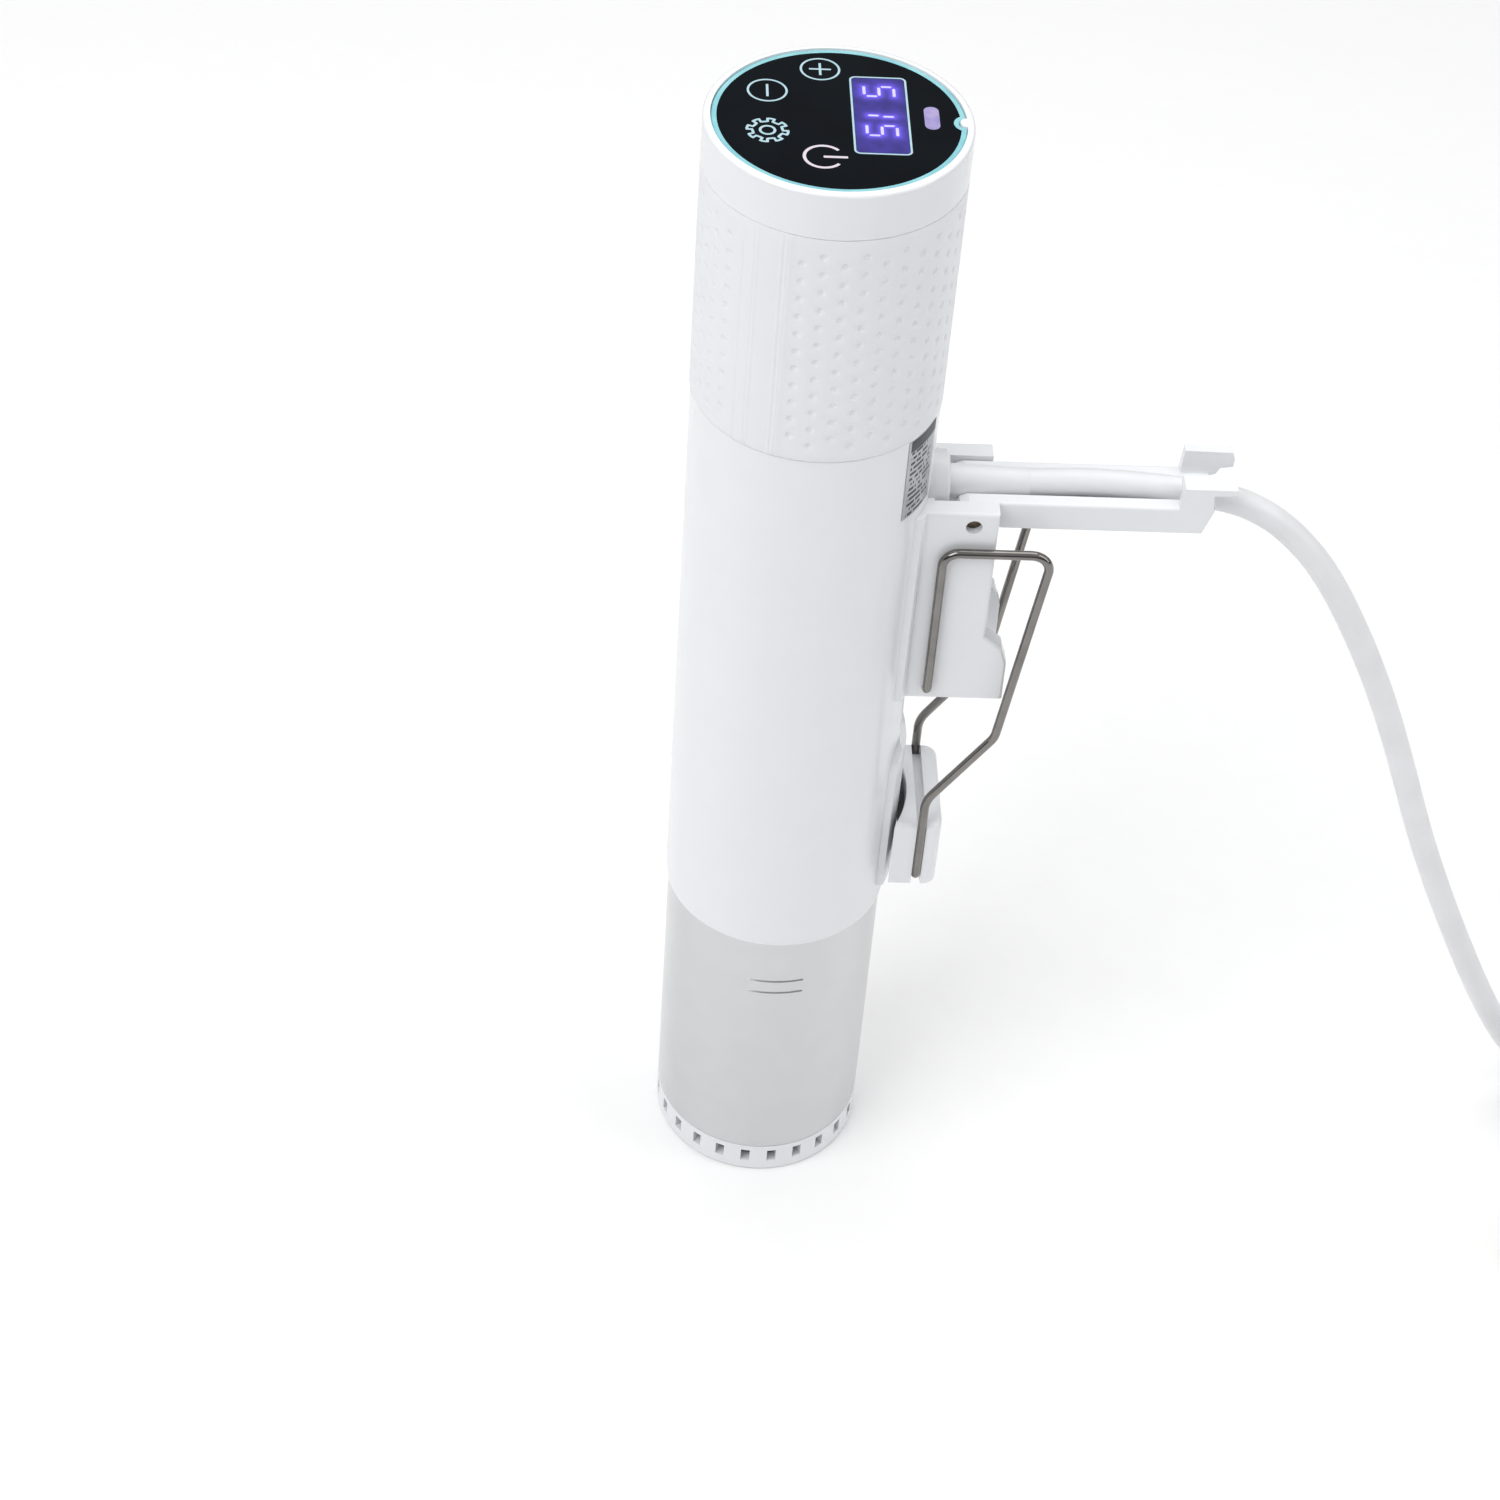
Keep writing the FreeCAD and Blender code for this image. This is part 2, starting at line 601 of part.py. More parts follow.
# ---------------------------------------------------------------- bracket, arm and clip
def clamp_bracket():
    """Bracket on the body: a curved flange, two side plates and a back spine."""
    outline = [(28.0, BRACKET_BOTTOM), (58.0, BRACKET_BOTTOM), (57.8, 206.5), (56.0, 211.8),
               (50.8, 216.0), (50.3, BRACKET_TOP), (28.0, BRACKET_TOP)]
    flange = ring(FLANGE_R, HOUSING_R, BRACKET_BOTTOM, BRACKET_TOP)
    flange = flange.common(block(20, 40, -FLANGE_HALF, FLANGE_HALF, 190, 262))
    pieces = [flange]
    for side in (-1, 1):
        low, high = sorted((side * PLATE_IN, side * PLATE_OUT))
        plate = side_plate(outline, low, high)
        outer = lambda edge, p: abs(p.y - side * PLATE_OUT) < 0.01 and p.x > 29 and p.z > BRACKET_BOTTOM + 1
        plate = soften(plate, 0.9, outer)
        pieces.append(plate)
    pieces.append(block(28.0, SPINE_X, -PLATE_IN, PLATE_IN, BRACKET_BOTTOM, 246.5))
    pieces.append(block(28.0, 48.0, -PLATE_IN, PLATE_IN, BRACKET_BOTTOM, 197.0))
    pieces.append(block(46.9, 49.8, -PLATE_IN, PLATE_IN, 245.0, ARM_BOTTOM - 0.3))
    bracket = pieces[0].multiFuse(pieces[1:]).removeSplitter()
    bracket = bracket.cut(disc(HOUSING_R, 190.0, 262.0))
    bracket = bracket.cut(rod_x(COLLAR_R, 20.0, SPINE_X, 0.0, CORD_Z))
    bracket = bracket.cut(rod_y(ARM_PIN_R, -20.0, 20.0, *ARM_PIN))
    for side in (-1, 1):
        low, high = sorted((side * 10.8, side * 20.0))
        bracket = bracket.cut(rod_y(WIRE_R + 0.06, low, high, *CLIP_PIVOT))
    for height in SCREW_HEIGHTS:
        bracket = bracket.cut(rod_x(1.5, 20.0, SPINE_X - 1.0, 0.0, height))
    return bracket


def bracket_screws():
    """Two screws from inside the body into the bracket's spine."""
    screws = []
    for height in SCREW_HEIGHTS:
        head = rod_x(3.0, 27.6, 30.0, 0.0, height)
        shank = rod_x(1.5, 30.0, SPINE_X - 1.0, 0.0, height)
        screws.append(head.fuse(shank).removeSplitter())
    return Part.makeCompound(screws)


def arm_pins():
    """Two short steel pins that the cord guide swings on."""
    pins = []
    for side in (-1, 1):
        low, high = sorted((side * (CHANNEL_HALF + 0.1), side * (PLATE_OUT - 2.4)))
        pins.append(rod_y(ARM_PIN_R, low, high, *ARM_PIN))
    return Part.makeCompound(pins)


def wire_clip():
    """Sprung wire bail, bent from one length, that presses the foot on the pot."""
    side = [(CLIP_PIVOT[0], CLIP_PIVOT[1]), (36.3, 247.6), (65.7, 247.6), (57.3, 179.9),
            (CLIP_WIRE_X, 153.9), (CLIP_WIRE_X, 121.4)]
    near = [(x, -WIRE_Y, z) for x, z in side]
    far = [(x, WIRE_Y, z) for x, z in reversed(side)]
    route = [(CLIP_PIVOT[0], -11.2, CLIP_PIVOT[1])] + near + far + [(CLIP_PIVOT[0], 11.2, CLIP_PIVOT[1])]
    bends = [1.9, 4.5, 5.2, 7.0, 11.0, 3.0]
    return tube_along(route, WIRE_R, bends + bends[::-1], "wire_clip")


def foot_pad(wire):
    """Pressure foot with a hollow inner face and a slot that takes the wire."""
    foot = block(28.0, FOOT_OUT, -FOOT_HALF, FOOT_HALF, FOOT_BOTTOM, FOOT_TOP)
    foot = soften(foot, 4.0, lambda edge, p: p.x > FOOT_OUT - 0.1 and abs(abs(p.y) - FOOT_HALF) < 0.1)
    foot = soften(foot, 1.6, lambda edge, p: abs(p.z - FOOT_TOP) < 0.1 and p.x > 40)
    foot = foot.cut(disc(FOOT_HOLLOW_R, 110.0, 150.0))
    foot = foot.cut(ring(38.0, 36.0, 123.0, 141.0).common(block(20, 40, -13, 13, 120, 150)))
    half_slot = WIRE_R + 0.05
    slot_low = CLIP_WIRE_X - half_slot
    slot_high = CLIP_WIRE_X + half_slot
    foot = foot.cut(block(slot_low, slot_high, -20, 20, FOOT_TOP - 3.0, FOOT_TOP + 1))
    foot = foot.cut(block(slot_low, slot_high, -20, 20, FOOT_BOTTOM - 1, 121.4 + half_slot))
    for side in (-1, 1):
        low, high = sorted((side * (WIRE_Y - half_slot), side * 20.0))
        foot = foot.cut(block(slot_low, slot_high, low, high, 110.0, 150.0))
    return foot.cut(wire)


def foot_rubber():
    """Soft lining in the hollow of the pressure foot."""
    return ring(38.0, 36.2, 123.0, 141.0).common(block(20, 40, -13, 13, 120, 150))


def cord_arm():
    """Swinging guide: an open channel with a two-sided cord clip at its tip."""
    wall = [(41.8, ARM_BOTTOM), (105.6, ARM_BOTTOM), (108.2, ARM_TOP), (42.6, ARM_TOP),
            (40.2, 257.6), (39.4, 255.4), (39.4, 252.6)]
    pieces = []
    for side in (-1, 1):
        low, high = sorted((side * CHANNEL_HALF, side * ARM_HALF))
        outer = lambda edge, p: abs(p.y - side * ARM_HALF) < 0.01 and edge.Length > 10
        inner = lambda edge, p: abs(p.y - side * CHANNEL_HALF) < 0.01 and p.z > ARM_TOP - 0.1
        plate = soften(side_plate(wall, low, high), 0.9, outer)
        pieces.append(soften(plate, 0.5, inner))
    pieces.append(block(50.4, ARM_FLOOR_END, -CHANNEL_HALF, CHANNEL_HALF, ARM_BOTTOM, ARM_FLOOR))
    cheek = [(98.4, ARM_TOP - 1), (107.9, ARM_TOP - 1), (107.2, 264.6), (99.4, 264.6)]
    pieces.append(side_plate(cheek, -ARM_HALF, -6.4))
    lip = [(99.2, 263.6), (110.6, 263.6), (113.4, 264.2), (113.4, 265.6), (99.4, 265.6)]
    pieces.append(side_plate(lip, -ARM_HALF, -2.8))
    far_ear = [(100.4, ARM_TOP - 1), (107.9, ARM_TOP - 1), (110.2, 258.6), (111.2, 260.6), (114.6, 261.2),
               (114.8, 263.6), (113.8, 266.0), (101.0, 266.2)]
    pieces.append(side_plate(far_ear, 6.4, ARM_HALF))
    arm = pieces[0].multiFuse(pieces[1:]).removeSplitter()
    return arm.cut(rod_y(ARM_PIN_R + 0.06, -20.0, 20.0, *ARM_PIN))


# ---------------------------------------------------------------- cord
def cord_gland():
    """Moulded collar where the cord leaves the body, with a lip that snaps in behind the wall."""
    collar = rod_x(COLLAR_R, 28.0, GLAND_FACE, 0.0, CORD_Z).cut(disc(HOUSING_R, 240.0, 280.0))
    collar = soften(collar, 0.8, lambda edge, p: p.x > GLAND_FACE - 0.01)
    lip = rod_x(6.4, 26.2, 29.2, 0.0, CORD_Z)
    neck = rod_x(5.2, 29.0, 34.0, 0.0, CORD_Z)
    return collar.multiFuse([neck, lip]).removeSplitter()


def strain_relief(cord):
    """Tapered rubber sleeve on the first stretch of the cord."""
    sleeve = Part.makeCone(4.7, 4.1, 22.0, Vec(GLAND_FACE, 0, CORD_Z), Vec(1, 0, 0))
    return sleeve.cut(cord)


def cord_coil():
    """Outer shape of the put-away turns of cord."""
    x, y = COIL_CENTRE
    inner = COIL_R - COIL_TURN_GAP / 2 - CORD_R
    outer = COIL_R + COIL_TURN_GAP / 2 + CORD_R
    high = 2 * CORD_R + COIL_LAYER_RISE
    bundle = ring(outer, inner, 0.0, high, x, y)
    return soften(bundle, 3.0, lambda edge, p: edge.Length > 100)


def plug_frame():
    """Placement of the plug: its rear face at the cord's end, pins pointing away."""
    end = Vec(*TAIL_ROUTE[-1])
    heading = end - Vec(*TAIL_ROUTE[-2])
    angle = math.degrees(math.atan2(heading.y, heading.x))
    return FreeCAD.Placement(end, FreeCAD.Rotation(UP, angle))


def plug_body():
    """Moulded mains plug with a tapered boot."""
    boot = Part.makeCone(4.6, 8.5, 16.0, Vec(0, 0, 0), Vec(1, 0, 0))
    head = block(14.0, 36.0, -12.0, 12.0, -12.5, 12.5)
    head = soften(head, 5.0, lambda edge, p: abs(edge.Length - 22.0) < 0.1)
    head = soften(head, 2.0, lambda edge, p: abs(p.x - 14.0) < 0.1)
    body = boot.fuse(head).removeSplitter()
    body.Placement = plug_frame()
    return body


def plug_pins():
    """Two flat blades and the round earth pin."""
    pins = [block(36.0, 53.0, y - 0.8, y + 0.8, 1.2, 7.6) for y in (-6.35, 6.35)]
    pins.append(Part.makeCylinder(2.4, 20.0, Vec(36.0, 0, -7.4), Vec(1, 0, 0)))
    group = Part.makeCompound(pins)
    group.Placement = plug_frame()
    return group


# ---------------------------------------------------------------- write every node
save("top_cap_ring", top_cap_ring())
save("touch_panel_glass", touch_panel_glass())
save("panel_foam", panel_foam())
save("key_springs", key_springs())
save("display_module", display_module())
save("status_lamp", status_lamp())
save("display_board", display_board())
save("display_board_screws", display_board_screws())
save("buzzer", buzzer())
save("grip_sleeve", grip_sleeve())
save("main_housing", main_housing())
save("rating_label", rating_label())
save("jaw_pad", jaw_pad())
save("steel_skirt", steel_skirt())
save("skirt_o_ring", skirt_o_ring())
save("base_cap", base_cap())
save("chassis", chassis())
save("power_board", power_board())
save("transformer", transformer())
save("relay", relay())
save("filter_capacitors", filter_capacitors())
save("fuse", fuse())
save("terminal_block", terminal_block())
save("heat_sink", heat_sink())
save("heater_triac", heater_triac())
save("ribbon_cable", ribbon_cable())
save("mains_wires", mains_wires())
save("heater_wires", heater_wires())
save("motor_mount", motor_mount())
save("motor_can", motor_can())
save("motor_bearings", motor_bearings())
save("motor_stator", motor_stator())
save("motor_rotor", motor_rotor())
save("motor_screws", motor_screws())
save("drive_shaft", drive_shaft())
save("cooling_fan", cooling_fan())
save("shaft_seal", shaft_seal())
save("guide_tube", guide_tube())
save("shaft_bush", shaft_bush())
save("impeller", impeller())
save("seal_plate", seal_plate())
save("seal_gasket", seal_gasket())
save("heater_element", heater_element())
save("temperature_probe", temperature_probe())
save("level_rods", level_rods())
save("clamp_bracket", clamp_bracket())
save("bracket_screws", bracket_screws())
save("arm_pins", arm_pins())
wire = wire_clip()
save("wire_clip", wire)
save("foot_pad", foot_pad(wire))
save("foot_rubber", foot_rubber())
save("cord_arm", cord_arm())
save("cord_gland", cord_gland())
held = tube_along(HELD_ROUTE, CORD_R, None, "cord_held")
save("cord_held", held)
save("strain_relief", strain_relief(held))
save("cord_drop", tube_along(DROP_ROUTE, CORD_R, None, "cord_drop"))
save("cord_coil", cord_coil())
save("cord_tail", tube_along(TAIL_ROUTE, CORD_R, None, "cord_tail"))
save("plug_body", plug_body())
save("plug_pins", plug_pins())
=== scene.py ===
# %% [markdown]
# # A sous vide circulator
#
# A circulator is a stick that heats and stirs a pot of water. Its white body stands over
# a steel skirt, a clamp holds it to the pot's wall, and a small guide swings out to carry
# the mains cord clear of the pot. This lesson starts from a finished mechanical model,
# which comes in as a set of fixed parts called CAD nodes. Blender then adds what the eye
# sees first: the dimpled grip, the lit glass panel, the cord and every finish.

# %% Load the mechanical model
import math

import bmesh
import bpy
import numpy as np
from mathutils import Matrix, Vector


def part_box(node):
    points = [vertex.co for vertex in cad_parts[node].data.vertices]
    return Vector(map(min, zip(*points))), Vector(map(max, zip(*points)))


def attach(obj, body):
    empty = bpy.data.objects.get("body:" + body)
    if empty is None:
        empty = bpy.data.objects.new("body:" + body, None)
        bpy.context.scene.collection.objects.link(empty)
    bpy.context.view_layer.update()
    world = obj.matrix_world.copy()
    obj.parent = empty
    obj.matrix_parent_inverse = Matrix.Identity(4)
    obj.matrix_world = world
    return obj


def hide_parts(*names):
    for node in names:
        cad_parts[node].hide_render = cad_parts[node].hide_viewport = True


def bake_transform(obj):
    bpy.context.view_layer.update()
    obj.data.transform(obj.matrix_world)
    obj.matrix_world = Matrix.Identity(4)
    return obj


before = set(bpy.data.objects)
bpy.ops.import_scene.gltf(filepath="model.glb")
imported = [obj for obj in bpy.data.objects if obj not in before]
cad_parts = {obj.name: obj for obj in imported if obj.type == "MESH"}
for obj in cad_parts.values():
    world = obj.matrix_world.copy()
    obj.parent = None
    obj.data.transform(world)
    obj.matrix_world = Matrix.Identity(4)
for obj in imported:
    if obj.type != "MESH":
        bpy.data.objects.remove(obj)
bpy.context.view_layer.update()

MM = 0.001

# %% [markdown]
# ## Camera
#
# The camera looks down at the panel from the front, a little from the left, with a slight
# roll. A camera can be aimed with a Track To constraint, but three plain turns are easier
# to read: tilt it down from the horizon, roll it about its own view line, then swing it
# about the vertical.

# %% Place the camera
LOOK_DOWN = math.radians(44.469)
ROLL = math.radians(4.309)
SWING = math.radians(-4.0)

camera_data = bpy.data.cameras.new("camera")
camera_data.lens = 72.83
camera_data.sensor_width = 36.0
camera_data.clip_end = 20.0
camera = bpy.data.objects.new("camera", camera_data)
tilt = Matrix.Rotation(math.pi / 2 - LOOK_DOWN, 4, "X")
aim = Matrix.Rotation(SWING, 4, "Z") @ tilt @ Matrix.Rotation(ROLL, 4, "Z")
camera.matrix_world = Matrix.Translation((-0.0538, -0.6261, 0.7720)) @ aim
bpy.context.scene.collection.objects.link(camera)
bpy.context.scene.camera = camera
print("camera at", [round(x, 3) for x in camera.location])

# %% [markdown]
# ## Helpers for meshes
#
# Every new piece is built in a bmesh, Blender's editable mesh. Three small helpers keep the
# later cells short: one turns a bmesh into an object, one smooths its faces but keeps its
# corners crisp, and one lets it ride on a body so that it moves with the joints.

# %% Helpers that finish a piece
def keep_corners(mesh, angle=35.0):
    """Smooth shading everywhere except on edges that turn by more than the angle."""
    shaped = bmesh.new()
    shaped.from_mesh(mesh)
    for face in shaped.faces:
        face.smooth = True
    for edge in shaped.edges:
        if len(edge.link_faces) == 2:
            edge.smooth = edge.calc_face_angle(0.0) < math.radians(angle)
    shaped.to_mesh(mesh)
    shaped.free()


def piece_from(shape, name, angle=35.0):
    """An object at the origin that holds the bmesh."""
    mesh = bpy.data.meshes.new(name)
    bmesh.ops.remove_doubles(shape, verts=shape.verts, dist=1e-6)
    shape.to_mesh(mesh)
    shape.free()
    keep_corners(mesh, angle)
    piece = bpy.data.objects.new(name, mesh)
    bpy.context.scene.collection.objects.link(piece)
    return piece


def finish_piece(piece, body, material):
    """Give a piece its finish and the body that it rides on."""
    if not piece.data.materials:
        piece.data.materials.append(material)
    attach(piece, body)
    print(piece.name, "faces:", len(piece.data.polygons))
    return piece

# %% [markdown]
# ## The mains cord
#
# A cord has one real length and cannot bend sharply, so its line matters more than its
# surface. A NURBS curve gives that line from a handful of control points. It comes
# out of the gland, lies in the channel of the guide, drops in a long lazy bend to the
# table, and the rest is wound into a coil with the plug on top of it. The line is then
# given a round section and made a mesh.

# %% Route of the cord, in metres
held_route = [(0.0372, 0, 0.2588), (0.058, 0, 0.2588), (0.0795, 0, 0.260), (0.098, 0, 0.258)]

drop_route = [
    (0.0980, 0, 0.2580), (0.1119, 0, 0.2565), (0.1246, 0, 0.2510), (0.1355, 0, 0.2416),
    (0.1460, 0, 0.2285), (0.1585, 0, 0.2068), (0.1710, 0, 0.1813), (0.1823, 0, 0.1538),
    (0.1918, 0, 0.1295), (0.2019, 0, 0.1066), (0.2127, 0, 0.0841), (0.2240, -0.0004, 0.0618),
    (0.2346, 0.0006, 0.0428), (0.2446, 0.0032, 0.0268), (0.2556, 0.0079, 0.0146),
    (0.2680, 0.0144, 0.0068), (0.2816, 0.0201, 0.0041), (0.2959, 0.0230, 0.0039),
]

tail_route = [
    (0.3179, 0.0119, 0.0114), (0.3280, 0.0021, 0.0118), (0.3341, -0.0115, 0.0138),
    (0.3345, -0.0264, 0.0174), (0.3292, -0.0410, 0.0218), (0.3187, -0.0524, 0.0258),
    (0.3047, -0.0590, 0.0276), (0.2892, -0.0595, 0.0276),
]

# %% [markdown]
# The coil is made by a loop. Seen from above the turns run clockwise: the lower layer
# spirals inwards, the cord climbs at the inside, and the upper layer spirals back out on
# top of it. Two short tables say how the radius and the height change with the angle.

# %% Turns of the coil
POINTS_PER_TURN = 15
COIL_POINTS = 45
START_ANGLE = 88
COIL_CENTRE = Vector((0.294, -0.020, 0.0))
turn_angles = [0, 360, 600, 760, 860, 920, 1100]
turn_radii = [43.6, 35.8, 31.2, 32.6, 36.8, 38.6, 40.4]
rise_angles = [0, 520, 650, 1100]
rise_heights = [3.9, 3.9, 11.5, 11.3]

coil_turns = []
for step in range(1, COIL_POINTS + 1):
    angle = step * 360 / POINTS_PER_TURN
    radius = np.interp(angle, turn_angles, turn_radii) * MM
    height = np.interp(angle, rise_angles, rise_heights) * MM
    around = math.radians(START_ANGLE - angle)
    place = COIL_CENTRE + Vector((radius * math.cos(around), radius * math.sin(around), height))
    coil_turns.append(tuple(place))
lead_route = drop_route + coil_turns + tail_route
print("control points in the lead:", len(lead_route))

# %% Round cord along a NURBS line
CORD_RADIUS = 0.0038


def cord_line(name, points, smoothness):
    """A NURBS curve whose control points are the route's points."""
    line = bpy.data.curves.new(name, "CURVE")
    line.dimensions = "3D"
    line.resolution_u = smoothness
    spline = line.splines.new("NURBS")
    spline.points.add(len(points) - 1)
    for point, place in zip(spline.points, points):
        point.co = (*place, 1.0)
    spline.order_u = 3
    spline.use_endpoint_u = True
    return line


def read_line(line):
    """The smooth points that the curve passes through."""
    holder = bpy.data.objects.new("line_reader", line)
    mesh = bpy.data.meshes.new_from_object(holder)
    places = [vertex.co.copy() for vertex in mesh.vertices]
    bpy.data.meshes.remove(mesh)
    bpy.data.objects.remove(holder)
    return places


def measured(places):
    """Length of a line of points."""
    return sum((b - a).length for a, b in zip(places, places[1:]))


def cord_piece(name, points, smoothness):
    """The cord's mesh, and the points of its centreline."""
    line = cord_line(name + "_line", points, smoothness)
    centreline = read_line(line)
    line.bevel_depth = CORD_RADIUS
    line.bevel_resolution = 5
    line.use_fill_caps = True
    holder = bpy.data.objects.new(name, line)
    mesh = bpy.data.meshes.new_from_object(holder)
    mesh.name = name
    bpy.data.objects.remove(holder)
    shape = bmesh.new()
    shape.from_mesh(mesh)
    bmesh.ops.recalc_face_normals(shape, faces=shape.faces)
    mesh.materials.clear()
    bpy.data.meshes.remove(mesh)
    piece = piece_from(shape, name, 60.0)
    print(name, "length", round(measured(centreline), 3), "m")
    return piece, centreline


held_cord, held_centre = cord_piece("cord_in_guide", held_route, 14)
mains_lead, lead_centre = cord_piece("mains_lead", lead_route, 6)

# %% [markdown]
# ## Floor and light
#
# White plastic on a pale floor only reads well if the light has a direction. A large soft
# panel at the left does most of the work, one overhead and one at the right fill in, and
# the world is darker near the horizon so that bare metal has something to reflect.
# The floor and the lights belong to the studio, not to the object.

# %% Studio floor
floor_shape = bmesh.new()
bmesh.ops.create_grid(floor_shape, x_segments=2, y_segments=2, size=3.0)
studio_floor = piece_from(floor_shape, "studio_floor")

# %% Studio lights
def soft_panel(name, place, target, size, watts, colour=(1.0, 1.0, 1.0)):
    """A square area light that faces its target."""
    data = bpy.data.lights.new(name, "AREA")
    data.shape = "RECTANGLE"
    data.size = size[0]
    data.size_y = size[1]
    data.energy = watts
    data.color = colour
    panel = bpy.data.objects.new(name, data)
    direction = Vector(target) - Vector(place)
    turned = direction.to_track_quat("-Z", "Y").to_matrix().to_4x4()
    panel.matrix_world = Matrix.Translation(place) @ turned
    bpy.context.scene.collection.objects.link(panel)
    return panel


soft_panel("key_panel", (-0.9, -0.7, 1.5), (0.05, 0, 0.2), (1.2, 1.2), 16.5)
soft_panel("top_panel", (0.1, 0.5, 1.9), (0.05, 0, 0.1), (1.8, 1.2), 12.0)
soft_panel("side_panel", (1.3, -0.4, 0.9), (0.05, 0, 0.2), (0.6, 1.4), 5.0)

# %% Studio world
def studio_world():
    """A dome that is bright above and greyer at the horizon."""
    world = bpy.data.worlds.new("studio_dome")
    bpy.context.scene.world = world
    world.use_nodes = True
    nodes = world.node_tree.nodes
    links = world.node_tree.links
    where = nodes.new("ShaderNodeTexCoord")
    split = nodes.new("ShaderNodeSeparateXYZ")
    ramp = nodes.new("ShaderNodeValToRGB")
    ramp.color_ramp.elements[0].position = 0.05
    ramp.color_ramp.elements[0].color = (0.10, 0.10, 0.11, 1)
    ramp.color_ramp.elements[1].position = 0.70
    ramp.color_ramp.elements[1].color = (1.0, 1.0, 1.0, 1)
    middle = ramp.color_ramp.elements.new(0.30)
    middle.color = (0.45, 0.46, 0.48, 1)
    links.new(where.outputs["Generated"], split.inputs[0])
    links.new(split.outputs["Z"], ramp.inputs["Fac"])
    links.new(ramp.outputs["Color"], nodes["Background"].inputs["Color"])
    nodes["Background"].inputs["Strength"].default_value = 0.66


studio_world()
bpy.context.scene.view_settings.view_transform = "Standard"

# %% [markdown]
# ## Shared effects
#
# Real plastic and metal are never one flat colour. Four effects come back on many of the
# finishes below, so each is a node group: a named box of nodes with its own inputs. The
# groups put out plain values, and the material decides how strongly to use them.

# %% Helper that starts a node group
def start_group(name, inputs, outputs):
    """A shader node group with named number inputs and outputs."""
    tree = bpy.data.node_groups.new(name, "ShaderNodeTree")
    tree.interface.new_socket("Vector", in_out="INPUT", socket_type="NodeSocketVector")
    for label, value in inputs:
        socket = tree.interface.new_socket(label, in_out="INPUT", socket_type="NodeSocketFloat")
        socket.default_value = value
    for label in outputs:
        tree.interface.new_socket(label, in_out="OUTPUT", socket_type="NodeSocketFloat")
    entry = tree.nodes.new("NodeGroupInput")
    leave = tree.nodes.new("NodeGroupOutput")
    return tree, entry.outputs, leave.inputs


def add(tree, kind, values=None, **settings):
    """A new node with some of its settings and sockets filled in."""
    node = tree.nodes.new(kind)
    for key, value in settings.items():
        setattr(node, key, value)
    for key, value in (values or {}).items():
        if isinstance(value, bpy.types.NodeSocket):
            tree.links.new(value, node.inputs[key])
        else:
            node.inputs[key].default_value = value
    return node


def sums(tree, operation, first, second=None, third=None):
    """The result socket of one Math node."""
    values = {0: first}
    if second is not None:
        values[1] = second
    if third is not None:
        values[2] = third
    return add(tree, "ShaderNodeMath", values, operation=operation).outputs[0]

# %% [markdown]
# *Moulded texture* is the faint orange-peel and spark grain that a steel mould leaves in
# plastic: one broad noise for the slow waves and one fine noise for the grain.

# %% Moulded texture
def moulded_texture():
    tree, given, out = start_group(
        "Moulded texture", [("Grain size mm", 0.3), ("Waviness", 0.15)], ["Height"])
    fine_scale = sums(tree, "DIVIDE", 1000.0, given["Grain size mm"])
    grain = add(tree, "ShaderNodeTexNoise", {
        "Vector": given["Vector"], "Scale": fine_scale, "Detail": 2.0})
    waves = add(tree, "ShaderNodeTexNoise", {"Vector": given["Vector"], "Scale": 160.0, "Detail": 1.0})
    slow = sums(tree, "MULTIPLY", waves.outputs[0], given["Waviness"])
    tree.links.new(sums(tree, "ADD", grain.outputs[0], slow), out["Height"])
    return tree


MOULDED = moulded_texture()

# %% [markdown]
# *Handling marks* are the slight smears and dull patches left by hands and packing. They
# change how glossy a surface is, and hardly its colour.

# %% Handling marks
def handling_marks():
    tree, given, out = start_group("Handling marks", [("Patch size mm", 12.0)], ["Mask"])
    scale = sums(tree, "DIVIDE", 1000.0, given["Patch size mm"])
    patches = add(tree, "ShaderNodeTexNoise", {
        "Vector": given["Vector"], "Scale": scale, "Detail": 3.0, "Roughness": 0.5})
    spread = add(tree, "ShaderNodeMapRange", {
        "Value": patches.outputs[0], "From Min": 0.25, "From Max": 0.75},
        interpolation_type="SMOOTHSTEP")
    tree.links.new(spread.outputs[0], out["Mask"])
    return tree


MARKS = handling_marks()

# %% [markdown]
# *Brushed lines* are the fine parallel scratches of polished or drawn metal. A noise that
# is stretched in the two level directions gives them: the lines run round an upright tube.

# %% Brushed lines
def brushed_lines():
    tree, given, out = start_group(
        "Brushed lines", [("Line width mm", 0.15), ("Stretch", 60.0)], ["Height", "Mask"])
    scale = sums(tree, "DIVIDE", 1000.0, given["Line width mm"])
    short = sums(tree, "DIVIDE", scale, given["Stretch"])
    factors = add(tree, "ShaderNodeCombineXYZ", {0: short, 1: short, 2: scale})
    stretched = add(tree, "ShaderNodeVectorMath", {0: given["Vector"], 1: factors.outputs[0]},
                    operation="MULTIPLY")
    lines = add(tree, "ShaderNodeTexNoise", {
        "Vector": stretched.outputs[0], "Scale": 1.0, "Detail": 3.0})
    tree.links.new(lines.outputs[0], out["Height"])
    bands = add(tree, "ShaderNodeMapRange", {
        "Value": lines.outputs[0], "From Min": 0.35, "From Max": 0.65})
    tree.links.new(bands.outputs[0], out["Mask"])
    return tree


BRUSHED = brushed_lines()

# %% [markdown]
# *Settled dust* gathers on faces that look up. The group reads the upward part of the
# surface normal and breaks it up with a noise.

